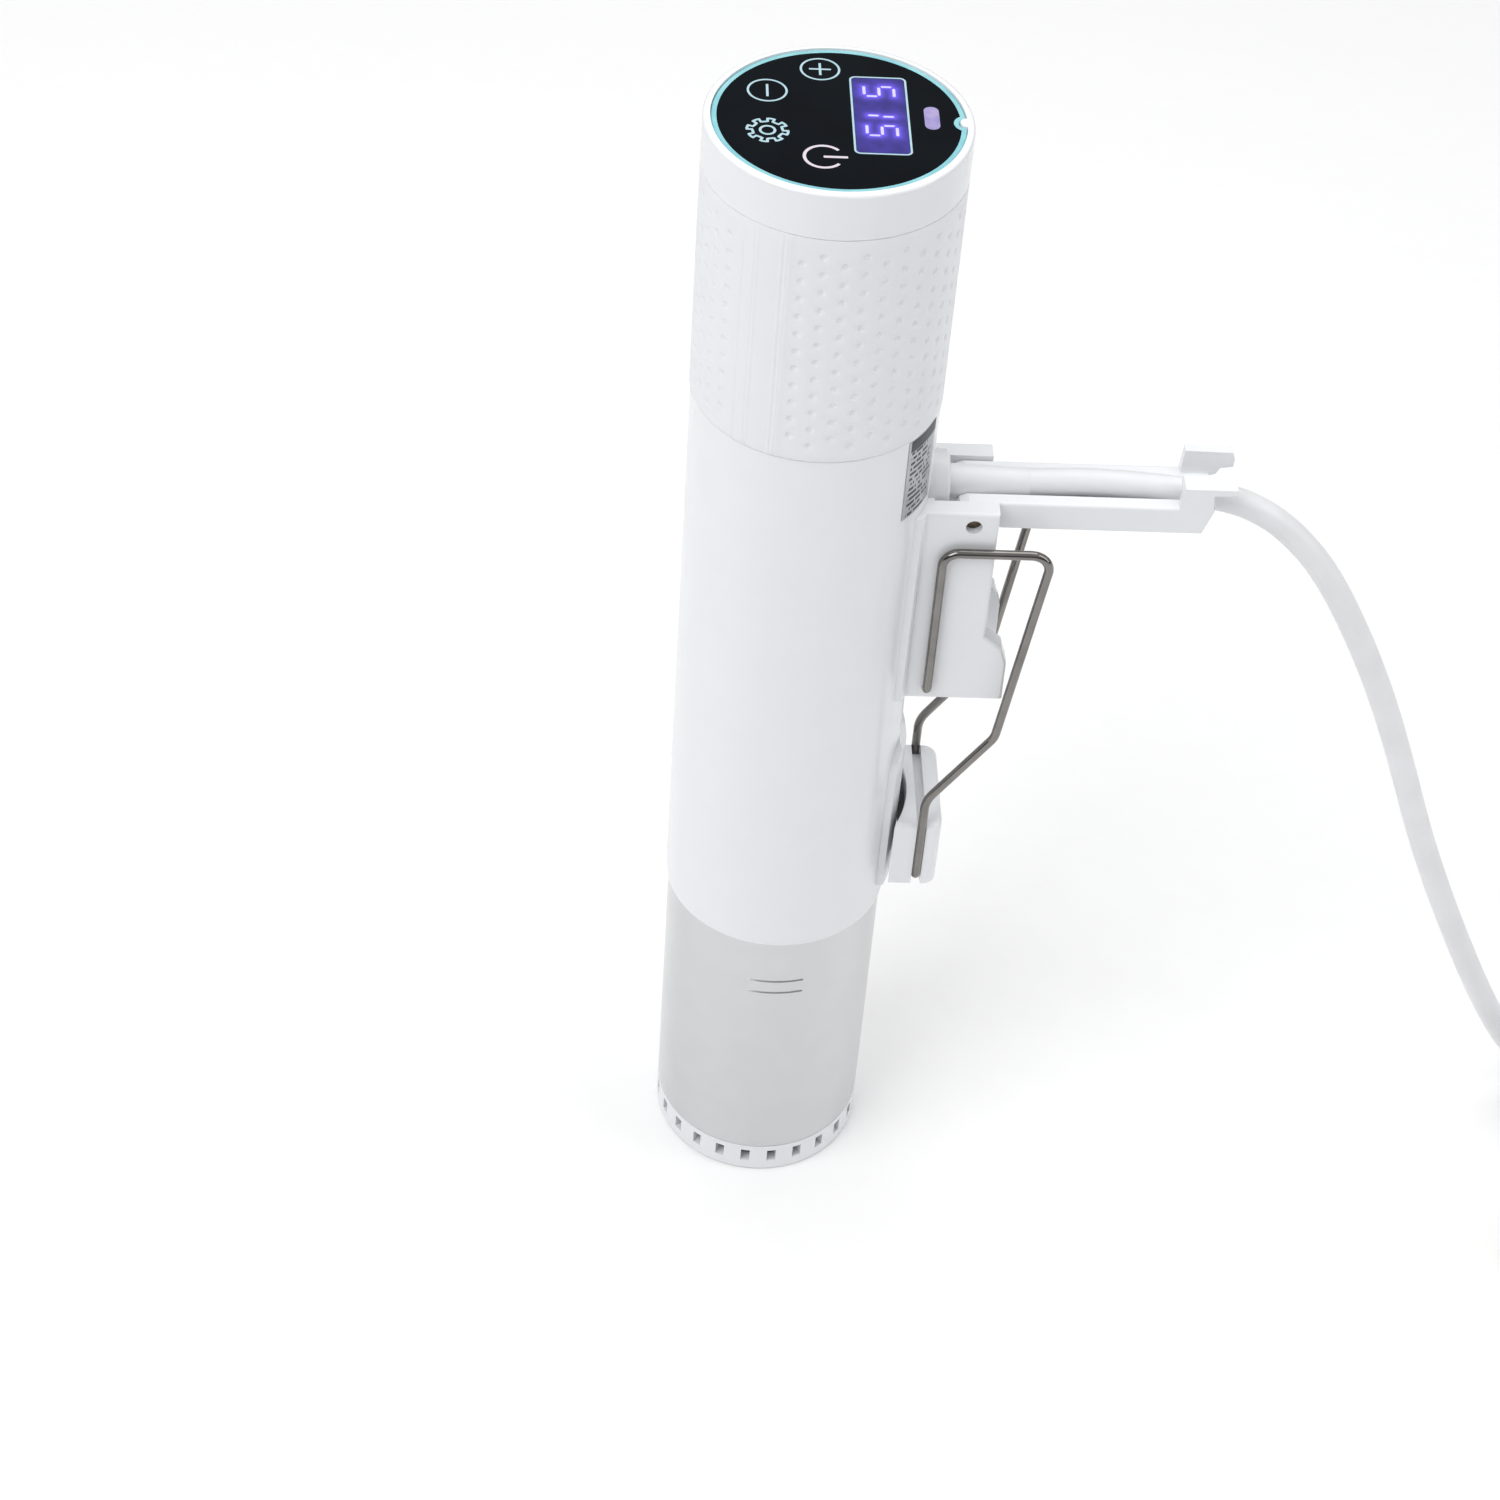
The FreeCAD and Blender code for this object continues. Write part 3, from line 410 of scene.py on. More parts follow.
# %% Settled dust
def settled_dust():
    tree, given, out = start_group("Settled dust", [("Speck size mm", 1.5)], ["Mask"])
    facing = add(tree, "ShaderNodeNewGeometry")
    split = add(tree, "ShaderNodeSeparateXYZ", {0: facing.outputs["Normal"]})
    upward = add(tree, "ShaderNodeMapRange", {
        "Value": split.outputs["Z"], "From Min": 0.3, "From Max": 1.0})
    scale = sums(tree, "DIVIDE", 1000.0, given["Speck size mm"])
    specks = add(tree, "ShaderNodeTexNoise", {
        "Vector": given["Vector"], "Scale": scale, "Detail": 5.0})
    broken = add(tree, "ShaderNodeMapRange", {
        "Value": specks.outputs[0], "From Min": 0.45, "From Max": 0.75})
    tree.links.new(sums(tree, "MULTIPLY", upward.outputs[0], broken.outputs[0]), out["Mask"])
    return tree


DUST = settled_dust()
print("shared effects:", [group.name for group in bpy.data.node_groups])

# %% [markdown]
# ## Finishes
#
# Each finish is one Principled BSDF. A helper lays out the part that they all share: the
# colour mixed between two close tones, the roughness swung between two values by the
# handling marks, and a bump from the texture. What differs is a handful of numbers.

# %% Helpers for finishes
def start_finish(name):
    """A material, its node tree, its shader and the object coordinates."""
    material = bpy.data.materials.new(name)
    material.use_nodes = True
    tree = material.node_tree
    where = add(tree, "ShaderNodeTexCoord").outputs["Object"]
    return material, tree, tree.nodes["Principled BSDF"], where


def use_group(tree, group, where, **values):
    """Place a shared effect and set its numbers."""
    node = add(tree, "ShaderNodeGroup", node_tree=group)
    tree.links.new(where, node.inputs["Vector"])
    for key, value in values.items():
        node.inputs[key.replace("_", " ")].default_value = value
    return node.outputs


def blend_colours(tree, mask, first, second):
    """Colour that goes from the first to the second as the mask goes from 0 to 1."""
    mix = add(tree, "ShaderNodeMix", data_type="RGBA")
    tree.links.new(mask, mix.inputs[0])
    for socket, colour in ((mix.inputs[6], first), (mix.inputs[7], second)):
        if isinstance(colour, bpy.types.NodeSocket):
            tree.links.new(colour, socket)
        else:
            socket.default_value = (*colour, 1.0)
    return mix.outputs[2]


def swing(tree, mask, low, high):
    """Value that goes from low to high with the mask."""
    return add(tree, "ShaderNodeMapRange", {"Value": mask, "To Min": low, "To Max": high}).outputs[0]


def bump(tree, shader, height, depth_mm):
    """Feed a height to the shader's normal."""
    node = add(tree, "ShaderNodeBump", {"Strength": 1.0, "Distance": depth_mm * MM, "Height": height})
    tree.links.new(node.outputs[0], shader.inputs["Normal"])

# %% [markdown]
# ### Plastics and rubbers
#
# Housings are injection moulded. Glossy ABS shows soft reflections with a trace of orange
# peel, boards and bushes are duller, and rubber is nearly matt. One recipe with different
# numbers covers them all.

# %% Recipe for moulded plastic
def moulded_finish(name, tone, shade, gloss, grain_mm=0.35, depth_mm=0.0015, coat=0.0, dust=0.0):
    """Plastic with two close tones, a roughness range and a mould grain."""
    material, tree, shader, where = start_finish(name)
    patches = use_group(tree, MARKS, where, Patch_size_mm=14.0)["Mask"]
    colour = blend_colours(tree, patches, tone, shade)
    if dust:
        specks = use_group(tree, DUST, where)["Mask"]
        colour = blend_colours(tree, sums(tree, "MULTIPLY", specks, dust), colour, (0.62, 0.60, 0.57))
    tree.links.new(colour, shader.inputs["Base Color"])
    tree.links.new(swing(tree, patches, *gloss), shader.inputs["Roughness"])
    shader.inputs["Coat Weight"].default_value = coat
    shader.inputs["Coat Roughness"].default_value = 0.08
    grain = use_group(tree, MOULDED, where, Grain_size_mm=grain_mm)["Height"]
    bump(tree, shader, grain, depth_mm)
    return material


# Name, first tone, second tone, roughness range, and what differs from the recipe
PLASTICS = [
    ("white_abs", (0.80, 0.81, 0.83), (0.79, 0.80, 0.822), (0.23, 0.26), {"coat": 0.2}),
    ("white_grip", (0.79, 0.80, 0.825), (0.78, 0.79, 0.817), (0.34, 0.39),
     {"grain_mm": 0.25, "depth_mm": 0.003}),
    ("white_cord", (0.80, 0.805, 0.82), (0.75, 0.755, 0.77), (0.34, 0.46),
     {"grain_mm": 0.5, "depth_mm": 0.008}),
    ("plug_plastic", (0.78, 0.785, 0.80), (0.74, 0.745, 0.76), (0.28, 0.40),
     {"grain_mm": 0.4, "depth_mm": 0.006}),
    ("black_foam", (0.02, 0.02, 0.022), (0.035, 0.035, 0.037), (0.85, 0.95),
     {"grain_mm": 0.6, "depth_mm": 0.12}),
    ("black_plastic", (0.018, 0.018, 0.02), (0.028, 0.028, 0.03), (0.35, 0.5), {"dust": 0.2}),
    ("grey_plastic", (0.28, 0.29, 0.30), (0.24, 0.25, 0.26), (0.38, 0.52), {"dust": 0.2}),
    ("seal_rubber", (0.03, 0.03, 0.032), (0.05, 0.05, 0.05), (0.6, 0.75),
     {"grain_mm": 0.5, "depth_mm": 0.02}),
    ("grip_rubber", (0.30, 0.305, 0.31), (0.26, 0.265, 0.27), (0.6, 0.75),
     {"grain_mm": 0.4, "depth_mm": 0.02}),
    ("relay_blue", (0.03, 0.10, 0.42), (0.025, 0.08, 0.36), (0.3, 0.42), {}),
    ("terminal_green", (0.03, 0.30, 0.12), (0.02, 0.24, 0.10), (0.34, 0.46), {}),
    ("wire_red", (0.50, 0.03, 0.03), (0.42, 0.02, 0.02), (0.4, 0.55), {}),
    ("display_lens", (0.10, 0.10, 0.14), (0.07, 0.07, 0.11), (0.25, 0.4), {}),
    ("status_lens", (0.75, 0.72, 0.85), (0.68, 0.65, 0.80), (0.3, 0.45), {}),
]
finishes = {}
for name, tone, shade, gloss, extra in PLASTICS:
    finishes[name] = moulded_finish(name, tone, shade, gloss, **extra)
print("plastics and rubbers:", len(finishes))

# %% [markdown]
# ### Metals
#
# A metal's look is all in its reflections: metallic is 1, the colour is what it reflects,
# and the roughness says how sharp the mirror image is. The skirt is drawn tube polished
# round its axis, the clip is smooth spring wire, and castings are duller and uneven. The
# clip's dark tone is a painted dark reflection, in place of dark surroundings that the
# studio does not have.

# %% Recipe for metals
def metal_finish(name, tone, shade, gloss, line_mm=0.15, stretch=60.0, depth_mm=0.002):
    """Metal with fine lines along one direction and a few dull patches."""
    material, tree, shader, where = start_finish(name)
    lines = use_group(tree, BRUSHED, where, Line_width_mm=line_mm, Stretch=stretch)
    patches = use_group(tree, MARKS, where, Patch_size_mm=9.0)["Mask"]
    tree.links.new(blend_colours(tree, patches, tone, shade), shader.inputs["Base Color"])
    uneven = sums(tree, "MULTIPLY_ADD", lines["Mask"], 0.6, sums(tree, "MULTIPLY", patches, 0.4))
    tree.links.new(swing(tree, uneven, *gloss), shader.inputs["Roughness"])
    shader.inputs["Metallic"].default_value = 1.0
    bump(tree, shader, lines["Height"], depth_mm)
    return material


# Name, first tone, second tone, roughness range, then line width, stretch and depth
METALS = [
    ("stainless", (0.60, 0.605, 0.61), (0.585, 0.59, 0.60), (0.20, 0.27), (0.08, 140.0, 0.0012)),
    # spring_steel: the dark tones are a painted dark reflection, not the wire's own colour
    ("spring_steel", (0.24, 0.23, 0.22), (0.19, 0.18, 0.17), (0.04, 0.08), (0.4, 20.0, 0.001)),
    ("zinc_steel", (0.62, 0.63, 0.62), (0.50, 0.51, 0.50), (0.28, 0.46), (0.5, 3.0)),
    ("motor_steel", (0.50, 0.50, 0.50), (0.40, 0.40, 0.41), (0.26, 0.42), (0.3, 30.0)),
    ("copper_winding", (0.72, 0.33, 0.17), (0.60, 0.24, 0.11), (0.25, 0.42), (0.4, 25.0, 0.06)),
    ("bronze", (0.55, 0.38, 0.19), (0.46, 0.30, 0.14), (0.32, 0.48), (0.3, 4.0)),
    ("aluminium", (0.78, 0.79, 0.80), (0.68, 0.69, 0.70), (0.30, 0.48), (0.2, 40.0)),
    # The pin finish is dark as painted shade of the deep holes that the pins sit in
    ("pin_painted_shade", (0.16, 0.13, 0.09), (0.11, 0.09, 0.065), (0.22, 0.36), (0.2, 8.0)),
    ("pin_brass", (0.80, 0.66, 0.38), (0.70, 0.56, 0.30), (0.18, 0.34), (0.25, 12.0)),
]
for name, tone, shade, gloss, lines in METALS:
    finishes[name] = metal_finish(name, tone, shade, gloss, *lines)
print("metals added, finishes now:", len(finishes))

# %% [markdown]
# ### Circuit board and ribbon
#
# A board has a green mask with slightly lighter copper tracks beneath it. A Brick texture
# with very thin mortar is a quick stand-in for the tracks. A ribbon cable is a row of
# fine parallel wires, which a Wave texture draws.

# %% Board and ribbon finishes
def board_finish():
    material, tree, shader, where = start_finish("circuit_board")
    tracks = add(tree, "ShaderNodeTexBrick", {
        "Vector": where, "Scale": 260.0, "Mortar Size": 0.06, "Brick Width": 0.9, "Row Height": 0.35,
        "Color1": (0.012, 0.10, 0.045, 1), "Color2": (0.015, 0.12, 0.05, 1),
        "Mortar": (0.03, 0.19, 0.08, 1)})
    tree.links.new(tracks.outputs["Color"], shader.inputs["Base Color"])
    patches = use_group(tree, MARKS, where)["Mask"]
    tree.links.new(swing(tree, patches, 0.25, 0.42), shader.inputs["Roughness"])
    bump(tree, shader, tracks.outputs["Fac"], 0.02)
    return material


def ribbon_finish():
    material, tree, shader, where = start_finish("ribbon_grey")
    wires = add(tree, "ShaderNodeTexWave", {"Vector": where, "Scale": 250.0}, bands_direction="Y")
    colour = blend_colours(tree, wires.outputs["Fac"], (0.34, 0.35, 0.36), (0.50, 0.51, 0.52))
    tree.links.new(colour, shader.inputs["Base Color"])
    tree.links.new(swing(tree, wires.outputs["Fac"], 0.45, 0.6), shader.inputs["Roughness"])
    bump(tree, shader, wires.outputs["Fac"], 0.1)
    return material


finishes["circuit_board"] = board_finish()
finishes["ribbon_grey"] = ribbon_finish()

# %% [markdown]
# ### Glass
#
# The panel is clear glass printed black on its back, so it looks like a black mirror with
# a blue-green rim where the bare edge carries light. The black face and the rim are two
# materials on one piece.

# %% Glass finishes
def black_glass():
    material, tree, shader, where = start_finish("panel_glass")
    patches = use_group(tree, MARKS, where, Patch_size_mm=18.0)["Mask"]
    colour = blend_colours(tree, patches, (0.001, 0.002, 0.004), (0.002, 0.004, 0.006))
    tree.links.new(colour, shader.inputs["Base Color"])
    tree.links.new(swing(tree, patches, 0.04, 0.10), shader.inputs["Roughness"])
    shader.inputs["Specular IOR Level"].default_value = 0.06
    return material


def glass_edge():
    material, tree, shader, where = start_finish("glass_edge")
    patches = use_group(tree, MARKS, where, Patch_size_mm=8.0)["Mask"]
    colour = blend_colours(tree, patches, (0.20, 0.50, 0.56), (0.30, 0.62, 0.66))
    tree.links.new(colour, shader.inputs["Base Color"])
    tree.links.new(swing(tree, patches, 0.08, 0.16), shader.inputs["Roughness"])
    return material


finishes["panel_glass"] = black_glass()
rim_of_glass = glass_edge()

# %% [markdown]
# ### Foil label
#
# The rating label is a silver foil sticker with a block of dark print. Real wording is
# left off: the material draws plain bars of uneven length instead. It reads the sticker's
# own UV map, which runs from 0 to 1 along and up it.

# %% Label finish
PRINT_ROWS = 15.0
PRINT_COLUMNS = 26.0


def between(tree, value, low, high):
    """1 where the value lies between the two bounds, else 0."""
    above, below = sums(tree, "GREATER_THAN", value, low), sums(tree, "LESS_THAN", value, high)
    return sums(tree, "MULTIPLY", above, below)


def foil_finish():
    material, tree, shader, where = start_finish("foil_label")
    sticker = add(tree, "ShaderNodeUVMap", uv_map="UVMap").outputs[0]
    split = add(tree, "ShaderNodeSeparateXYZ", {0: sticker})
    along, up = split.outputs[0], split.outputs[1]
    rows = sums(tree, "MULTIPLY", up, PRINT_ROWS)
    row_number = sums(tree, "FLOOR", rows)
    within_row = sums(tree, "FRACT", rows)
    inked = between(tree, within_row, 0.28, 0.80)
    column = sums(tree, "FLOOR", sums(tree, "MULTIPLY", along, PRINT_COLUMNS))
    seed = add(tree, "ShaderNodeCombineXYZ", {0: row_number, 1: column})
    speckle = add(tree, "ShaderNodeTexWhiteNoise", {"Vector": seed.outputs[0]}, noise_dimensions="3D")
    words = sums(tree, "GREATER_THAN", speckle.outputs["Value"], 0.28)
    ends = add(tree, "ShaderNodeTexWhiteNoise", {"W": row_number}, noise_dimensions="1D")
    reach = sums(tree, "MULTIPLY_ADD", ends.outputs["Value"], 0.35, 0.60)
    inside = between(tree, along, 0.10, reach)
    print_mask = sums(tree, "MULTIPLY", sums(tree, "MULTIPLY", inked, words), inside)
    heading_rows, heading_part = (sums(tree, "GREATER_THAN", value, low)
                                  for value, low in ((up, 0.86), (along, 0.06)))
    heading = sums(tree, "MULTIPLY", heading_rows, heading_part)
    print_mask = sums(tree, "MAXIMUM", print_mask, heading)
    colour = blend_colours(tree, print_mask, (0.50, 0.51, 0.53), (0.03, 0.03, 0.035))
    tree.links.new(colour, shader.inputs["Base Color"])
    tree.links.new(swing(tree, print_mask, 0.85, 0.0), shader.inputs["Metallic"])
    patches = use_group(tree, MARKS, where, Patch_size_mm=5.0)["Mask"]
    tree.links.new(swing(tree, patches, 0.28, 0.45), shader.inputs["Roughness"])
    bump(tree, shader, patches, 0.02)
    return material


finishes["foil_label"] = foil_finish()
print("finishes:", len(finishes))

# %% [markdown]
# ## Finishes for the CAD nodes
#
# The mechanical parts keep their meshes. Each one says in its material slots which finish
# it wants, so one loop gives all of them their materials by name.

# %% Put the finishes on the CAD nodes
plain = set()
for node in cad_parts.values():
    for place in node.material_slots:
        wanted = place.material.name.split(".")[0]
        if wanted in finishes:
            place.material = finishes[wanted]
        else:
            plain.add(wanted)
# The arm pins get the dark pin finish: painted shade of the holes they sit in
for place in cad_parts["arm_pins"].material_slots:
    place.material = finishes["pin_painted_shade"]
print("slots without a finish:", sorted(plain))

# %% [markdown]
# The floor gets a plain pale finish with the faintest mottling.

# %% Floor finish
floor_finish = moulded_finish(
    "studio_floor", (0.92, 0.92, 0.92), (0.91, 0.91, 0.91), (0.6, 0.7), 2.0, 0.0)
studio_floor.data.materials.append(floor_finish)

# %% [markdown]
# ## Grip sleeve
#
# The grip is a moulded sleeve with columns of small round dimples. Every other column is
# half a step lower and one dimple shorter. One dimple cell is modelled flat, from a
# sixteen-sided disc that is inset step by step into a bowl, and its outer ring is pulled
# out to a rectangle. Copies of the cell fill a flat sheet, and the sheet is then wrapped
# round the body. Dimples drawn only by a bump would look flat at the body's outline.

# %% Sizes of the grip
GRIP_R = 33.0
GRIP_LOW, GRIP_HIGH = (corner[2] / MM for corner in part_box("grip_sleeve"))
GRIP_ROUND = 0.35
COLUMN = math.radians(9) * GRIP_R
ROWS = 12
ROW = 5.2
MARGIN = (GRIP_HIGH - GRIP_LOW - 2 * GRIP_ROUND - ROWS * ROW) / 2
SMOOTH_COLUMNS = [-132, -123, -114, 48, 57, 66]
print("one dimple cell is", round(COLUMN, 2), "by", ROW, "mm, plain margin", round(MARGIN, 2), "mm")

# %% One dimple cell
def square_step(value):
    """Snap to the nearest of five even steps from -1 to 1."""
    return round(2 * value) / 2


def dimple_cell():
    """A flat rectangle with a round hollow in its middle."""
    cell = bmesh.new()
    bmesh.ops.create_circle(cell, cap_ends=True, radius=1.2, segments=16)
    disc = cell.faces[:]
    for inset, drop in ((0.12, -0.04), (0.22, -0.13), (0.34, -0.20)):
        bmesh.ops.inset_individual(cell, faces=disc, thickness=inset, depth=drop)
    bmesh.ops.poke(cell, faces=disc, offset=-0.03)
    border = [edge for edge in cell.edges if edge.is_boundary]
    pulled = bmesh.ops.extrude_edge_only(cell, edges=border)["geom"]
    for vert in pulled:
        if isinstance(vert, bmesh.types.BMVert):
            reach = max(abs(vert.co.x), abs(vert.co.y))
            vert.co.x = square_step(vert.co.x / reach) * COLUMN / 2
            vert.co.y = square_step(vert.co.y / reach) * ROW / 2
    return cell


def flat_patch(x_count, y_count, width, height):
    """A plain rectangle with the same spacing of points as a cell."""
    patch = bmesh.new()
    bmesh.ops.create_grid(patch, x_segments=x_count, y_segments=y_count, size=0.5)
    bmesh.ops.scale(patch, vec=(width, height, 1), verts=patch.verts)
    return patch


def paste(target, patch):
    """Add one bmesh to another, and free it."""
    holder = bpy.data.meshes.new("holder")
    patch.to_mesh(holder)
    target.from_mesh(holder)
    bpy.data.meshes.remove(holder)
    patch.free()


def lay(sheet, source, x, y):
    """Copy a patch into the flat sheet."""
    copy = source.copy()
    bmesh.ops.translate(copy, vec=(x, y, 0), verts=copy.verts)
    paste(sheet, copy)

# %% Ridges of the smooth stripe
RIDGES = [-10.3, -4.4, -2.4, 8.9, 11.1, 12.6]


def ridged_stripe(y_count, height):
    """Three columns wide, with fine upright ridges instead of dimples."""
    stripe = flat_patch(54, y_count, 3 * COLUMN, height)
    for vert in stripe.verts:
        degrees = math.degrees(vert.co.x / GRIP_R)
        for ridge in RIDGES:
            nearness = max(0.0, 1 - abs(degrees - ridge) / 0.9)
            vert.co.z += 0.16 * nearness * nearness * (3 - 2 * nearness)
    return stripe

# %% Wrap the sheet into a sleeve
def grip_sheet():
    """All cells and stripes laid out flat, x round the body and y up it."""
    sheet = bmesh.new()
    cell, half = dimple_cell(), flat_patch(4, 2, COLUMN, ROW / 2)
    margin = flat_patch(4, 1, COLUMN, MARGIN)
    stripe, stripe_end = ridged_stripe(ROWS * 4, ROWS * ROW), ridged_stripe(1, MARGIN)
    for index in range(40):
        azimuth = -105 + 9 * index
        x = math.radians(azimuth) * GRIP_R
        if azimuth - 360 in SMOOTH_COLUMNS or azimuth in SMOOTH_COLUMNS:
            if azimuth in (57, 237):
                lay(sheet, stripe, x, ROWS * ROW / 2)
                lay(sheet, stripe_end, x, -MARGIN / 2)
                lay(sheet, stripe_end, x, ROWS * ROW + MARGIN / 2)
            continue
        lay(sheet, margin, x, -MARGIN / 2)
        lay(sheet, margin, x, ROWS * ROW + MARGIN / 2)
        if index % 2:
            for row in range(ROWS):
                lay(sheet, cell, x, (row + 0.5) * ROW)
        else:
            for row in range(1, ROWS):
                lay(sheet, cell, x, row * ROW)
            lay(sheet, half, x, ROW / 4)
            lay(sheet, half, x, (ROWS - 0.25) * ROW)
    return sheet


def grip_sleeve():
    """The dimpled sheet wrapped, rounded at its ends and given a wall."""
    sheet = grip_sheet()
    for vert in sheet.verts:
        turn = vert.co.x / GRIP_R
        reach = GRIP_R + vert.co.z
        height = GRIP_LOW + GRIP_ROUND + MARGIN + vert.co.y
        vert.co = Vector((reach * math.cos(turn), reach * math.sin(turn), height))
    bmesh.ops.remove_doubles(sheet, verts=sheet.verts, dist=0.01)
    inner_rings = []
    for side in (-1, 1):
        middle = (GRIP_LOW + GRIP_HIGH) / 2
        ring = [e for e in sheet.edges if e.is_boundary
                and (e.verts[0].co.z - middle) * side > 30 and e.verts[0].co.xy.length > 32]
        for inward, outward in ((0.10, 0.25), (0.25, 0.10), (2.05, 0.0)):
            pulled = bmesh.ops.extrude_edge_only(sheet, edges=ring)["geom"]
            ring = [e for e in pulled if isinstance(e, bmesh.types.BMEdge)]
            for vert in {v for e in ring for v in e.verts}:
                length = vert.co.xy.length
                factor = (min(length, GRIP_R) - inward) / length
                vert.co = Vector((vert.co.x * factor, vert.co.y * factor, vert.co.z + side * outward))
        inner_rings += ring
    bmesh.ops.bridge_loops(sheet, edges=inner_rings)
    bmesh.ops.recalc_face_normals(sheet, faces=sheet.faces)
    bmesh.ops.scale(sheet, vec=(MM, MM, MM), verts=sheet.verts)
    return sheet


grip = piece_from(grip_sleeve(), "dimpled_grip", 60.0)
finish_piece(grip, "body", finishes["white_grip"])
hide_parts("grip_sleeve")

# %% [markdown]
# ## Glass panel
#
# The glass is a disc with a half-round notch that sits round the locator of the rim. Four
# outlines with the same number of points are stacked: bottom, top of the edge, inner side
# of the ground bevel, and the border of the black print. Faces between neighbouring
# outlines close it, and the ring outside the print gets the blue-green finish.

# %% Outlines of the glass
GLASS_LOW, GLASS_TOP = (corner[2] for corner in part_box("touch_panel_glass"))
GLASS_R, NOTCH_R, NOTCH_X = 31.0, 2.05, 31.2


def glass_outline(inward):
    """Points round the glass in mm, moved inward from its edge, the notch last."""
    edge_r, notch_r = GLASS_R - inward, NOTCH_R + inward
    meet_x = (edge_r ** 2 + NOTCH_X ** 2 - notch_r ** 2) / (2 * NOTCH_X)
    meet_y = math.sqrt(edge_r ** 2 - meet_x ** 2)
    first = math.atan2(meet_y, meet_x)
    last = math.atan2(meet_y, meet_x - NOTCH_X)
    round_edge = [first + (math.tau - 2 * first) * i / 108 for i in range(109)]
    notch = [-last - (math.tau - 2 * last) * i / 14 for i in range(1, 14)]
    points = [(edge_r * math.cos(a), edge_r * math.sin(a)) for a in round_edge]
    return points + [(NOTCH_X + notch_r * math.cos(a), notch_r * math.sin(a)) for a in notch]

# %% Stack the outlines
glass_shape = bmesh.new()
stack = []
for inward, height in ((0.0, GLASS_LOW), (0.0, GLASS_TOP - 0.0003), (0.3, GLASS_TOP), (1.4, GLASS_TOP)):
    stack.append([glass_shape.verts.new((x * MM, y * MM, height)) for x, y in glass_outline(inward)])
for lower, upper in zip(stack, stack[1:]):
    for i in range(len(lower)):
        glass_shape.faces.new((lower[i - 1], lower[i], upper[i], upper[i - 1])).material_index = 1
glass_shape.faces.new(list(reversed(stack[0]))).material_index = 1
glass_shape.faces.new(stack[-1]).material_index = 0
glass = piece_from(glass_shape, "glass_panel", 30.0)
glass.data.materials.append(finishes["panel_glass"])
glass.data.materials.append(rim_of_glass)
finish_piece(glass, "body", finishes["panel_glass"])
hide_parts("touch_panel_glass")

# %% [markdown]
# ## Lit symbols
#
# The key symbols, the digits and the lamp shine through clear windows in the black print.
# Each is a thin flat shape just on top of the glass with a glowing finish. A reader stands
# at the left of the panel, so the symbols' up direction is +X and they read along -Y.

# %% Glowing finishes
def glowing(name, colour, edge, strength):
    """A lit window, a little uneven as light guides are."""
    material, tree, shader, where = start_finish(name)
    patches = use_group(tree, MARKS, where, Patch_size_mm=3.0)["Mask"]
    lit = blend_colours(tree, patches, colour, edge)
    unlit = blend_colours(tree, patches, (0.02, 0.02, 0.025), (0.03, 0.03, 0.035))
    tree.links.new(unlit, shader.inputs["Base Color"])
    tree.links.new(lit, shader.inputs["Emission Color"])
    shader.inputs["Emission Strength"].default_value = strength
    tree.links.new(swing(tree, patches, 0.15, 0.3), shader.inputs["Roughness"])
    return material


key_light = glowing("key_light", (0.50, 0.80, 0.90), (0.62, 0.86, 0.94), 0.85)
power_light = glowing("power_light", (0.95, 0.78, 0.88), (0.82, 0.82, 0.92), 0.9)
lamp_light = glowing("lamp_light", (0.40, 0.34, 0.80), (0.58, 0.48, 0.86), 0.75)
digit_light = glowing("digit_light", (0.86, 0.80, 1.0), (0.70, 0.64, 1.0), 0.95)

# %% Flat shapes on the glass
SYMBOL_Z = GLASS_TOP + 0.00003


def on_panel(shape, x, y):
    """Turn a flat shape that reads along its own x so that it reads along -Y, and place it."""
    turn = Matrix.Rotation(-math.pi / 2, 4, "Z")
    place = Matrix.Translation((x * MM, y * MM, SYMBOL_Z))
    bmesh.ops.transform(shape, matrix=place @ turn @ Matrix.Scale(MM, 4), verts=shape.verts)
    return shape


def flat_ring(shape, outer, inner, start=0.0, sweep=360.0):
    """A flat ring, or part of one, by spinning a short radial edge."""
    first = math.radians(start)
    ends = [shape.verts.new((r * math.cos(first), r * math.sin(first), 0)) for r in (outer, inner)]
    edge = shape.edges.new(ends)
    bmesh.ops.spin(shape, geom=ends + [edge], axis=(0, 0, 1), cent=(0, 0, 0), angle=math.radians(sweep),
                   steps=max(8, int(sweep / 7.5)), use_merge=sweep >= 360)


def flat_bar(shape, width, height, x=0.0, y=0.0, cut=0.0):
    """A flat bar, with slanted ends when cut is above 0."""
    made = bmesh.ops.create_grid(shape, x_segments=2, y_segments=2, size=0.5)["verts"]
    bmesh.ops.scale(shape, vec=(width, height, 1), verts=made)
    for vert in made:
        if width >= height and abs(vert.co.x) > width * 0.4 and abs(vert.co.y) > height * 0.4:
            vert.co.x -= math.copysign(cut, vert.co.x)
        if height > width and abs(vert.co.y) > height * 0.4 and abs(vert.co.x) > width * 0.4:
            vert.co.y -= math.copysign(cut, vert.co.y)
    bmesh.ops.translate(shape, vec=(x, y, 0), verts=made)

# %% Four key symbols
KEYS = {"plus": (-3.9, 21.9), "minus": (-17.1, 11.6), "gear": (-17.4, -5.8), "power": (-4.3, -16.3)}


def gear_outline(shape, teeth=8):
    """A ring whose outer wall steps in and out, as a drawn gear wheel does."""
    for tooth in range(teeth):
        step = 360 / teeth
        flat_ring(shape, 3.95, 3.3, tooth * step, step * 0.5)
        flat_ring(shape, 5.3, 4.65, (tooth + 0.56) * step, step * 0.38)
        for side in (0.5, 0.94):
            turn = Matrix.Rotation(math.radians((tooth + side + 0.03) * step), 4, "Z")
            before = set(shape.verts)
            flat_bar(shape, 1.75, 0.65, 4.35, 0)
            bmesh.ops.transform(shape, matrix=turn, verts=[v for v in shape.verts if v not in before])
    flat_ring(shape, 2.1, 1.45)


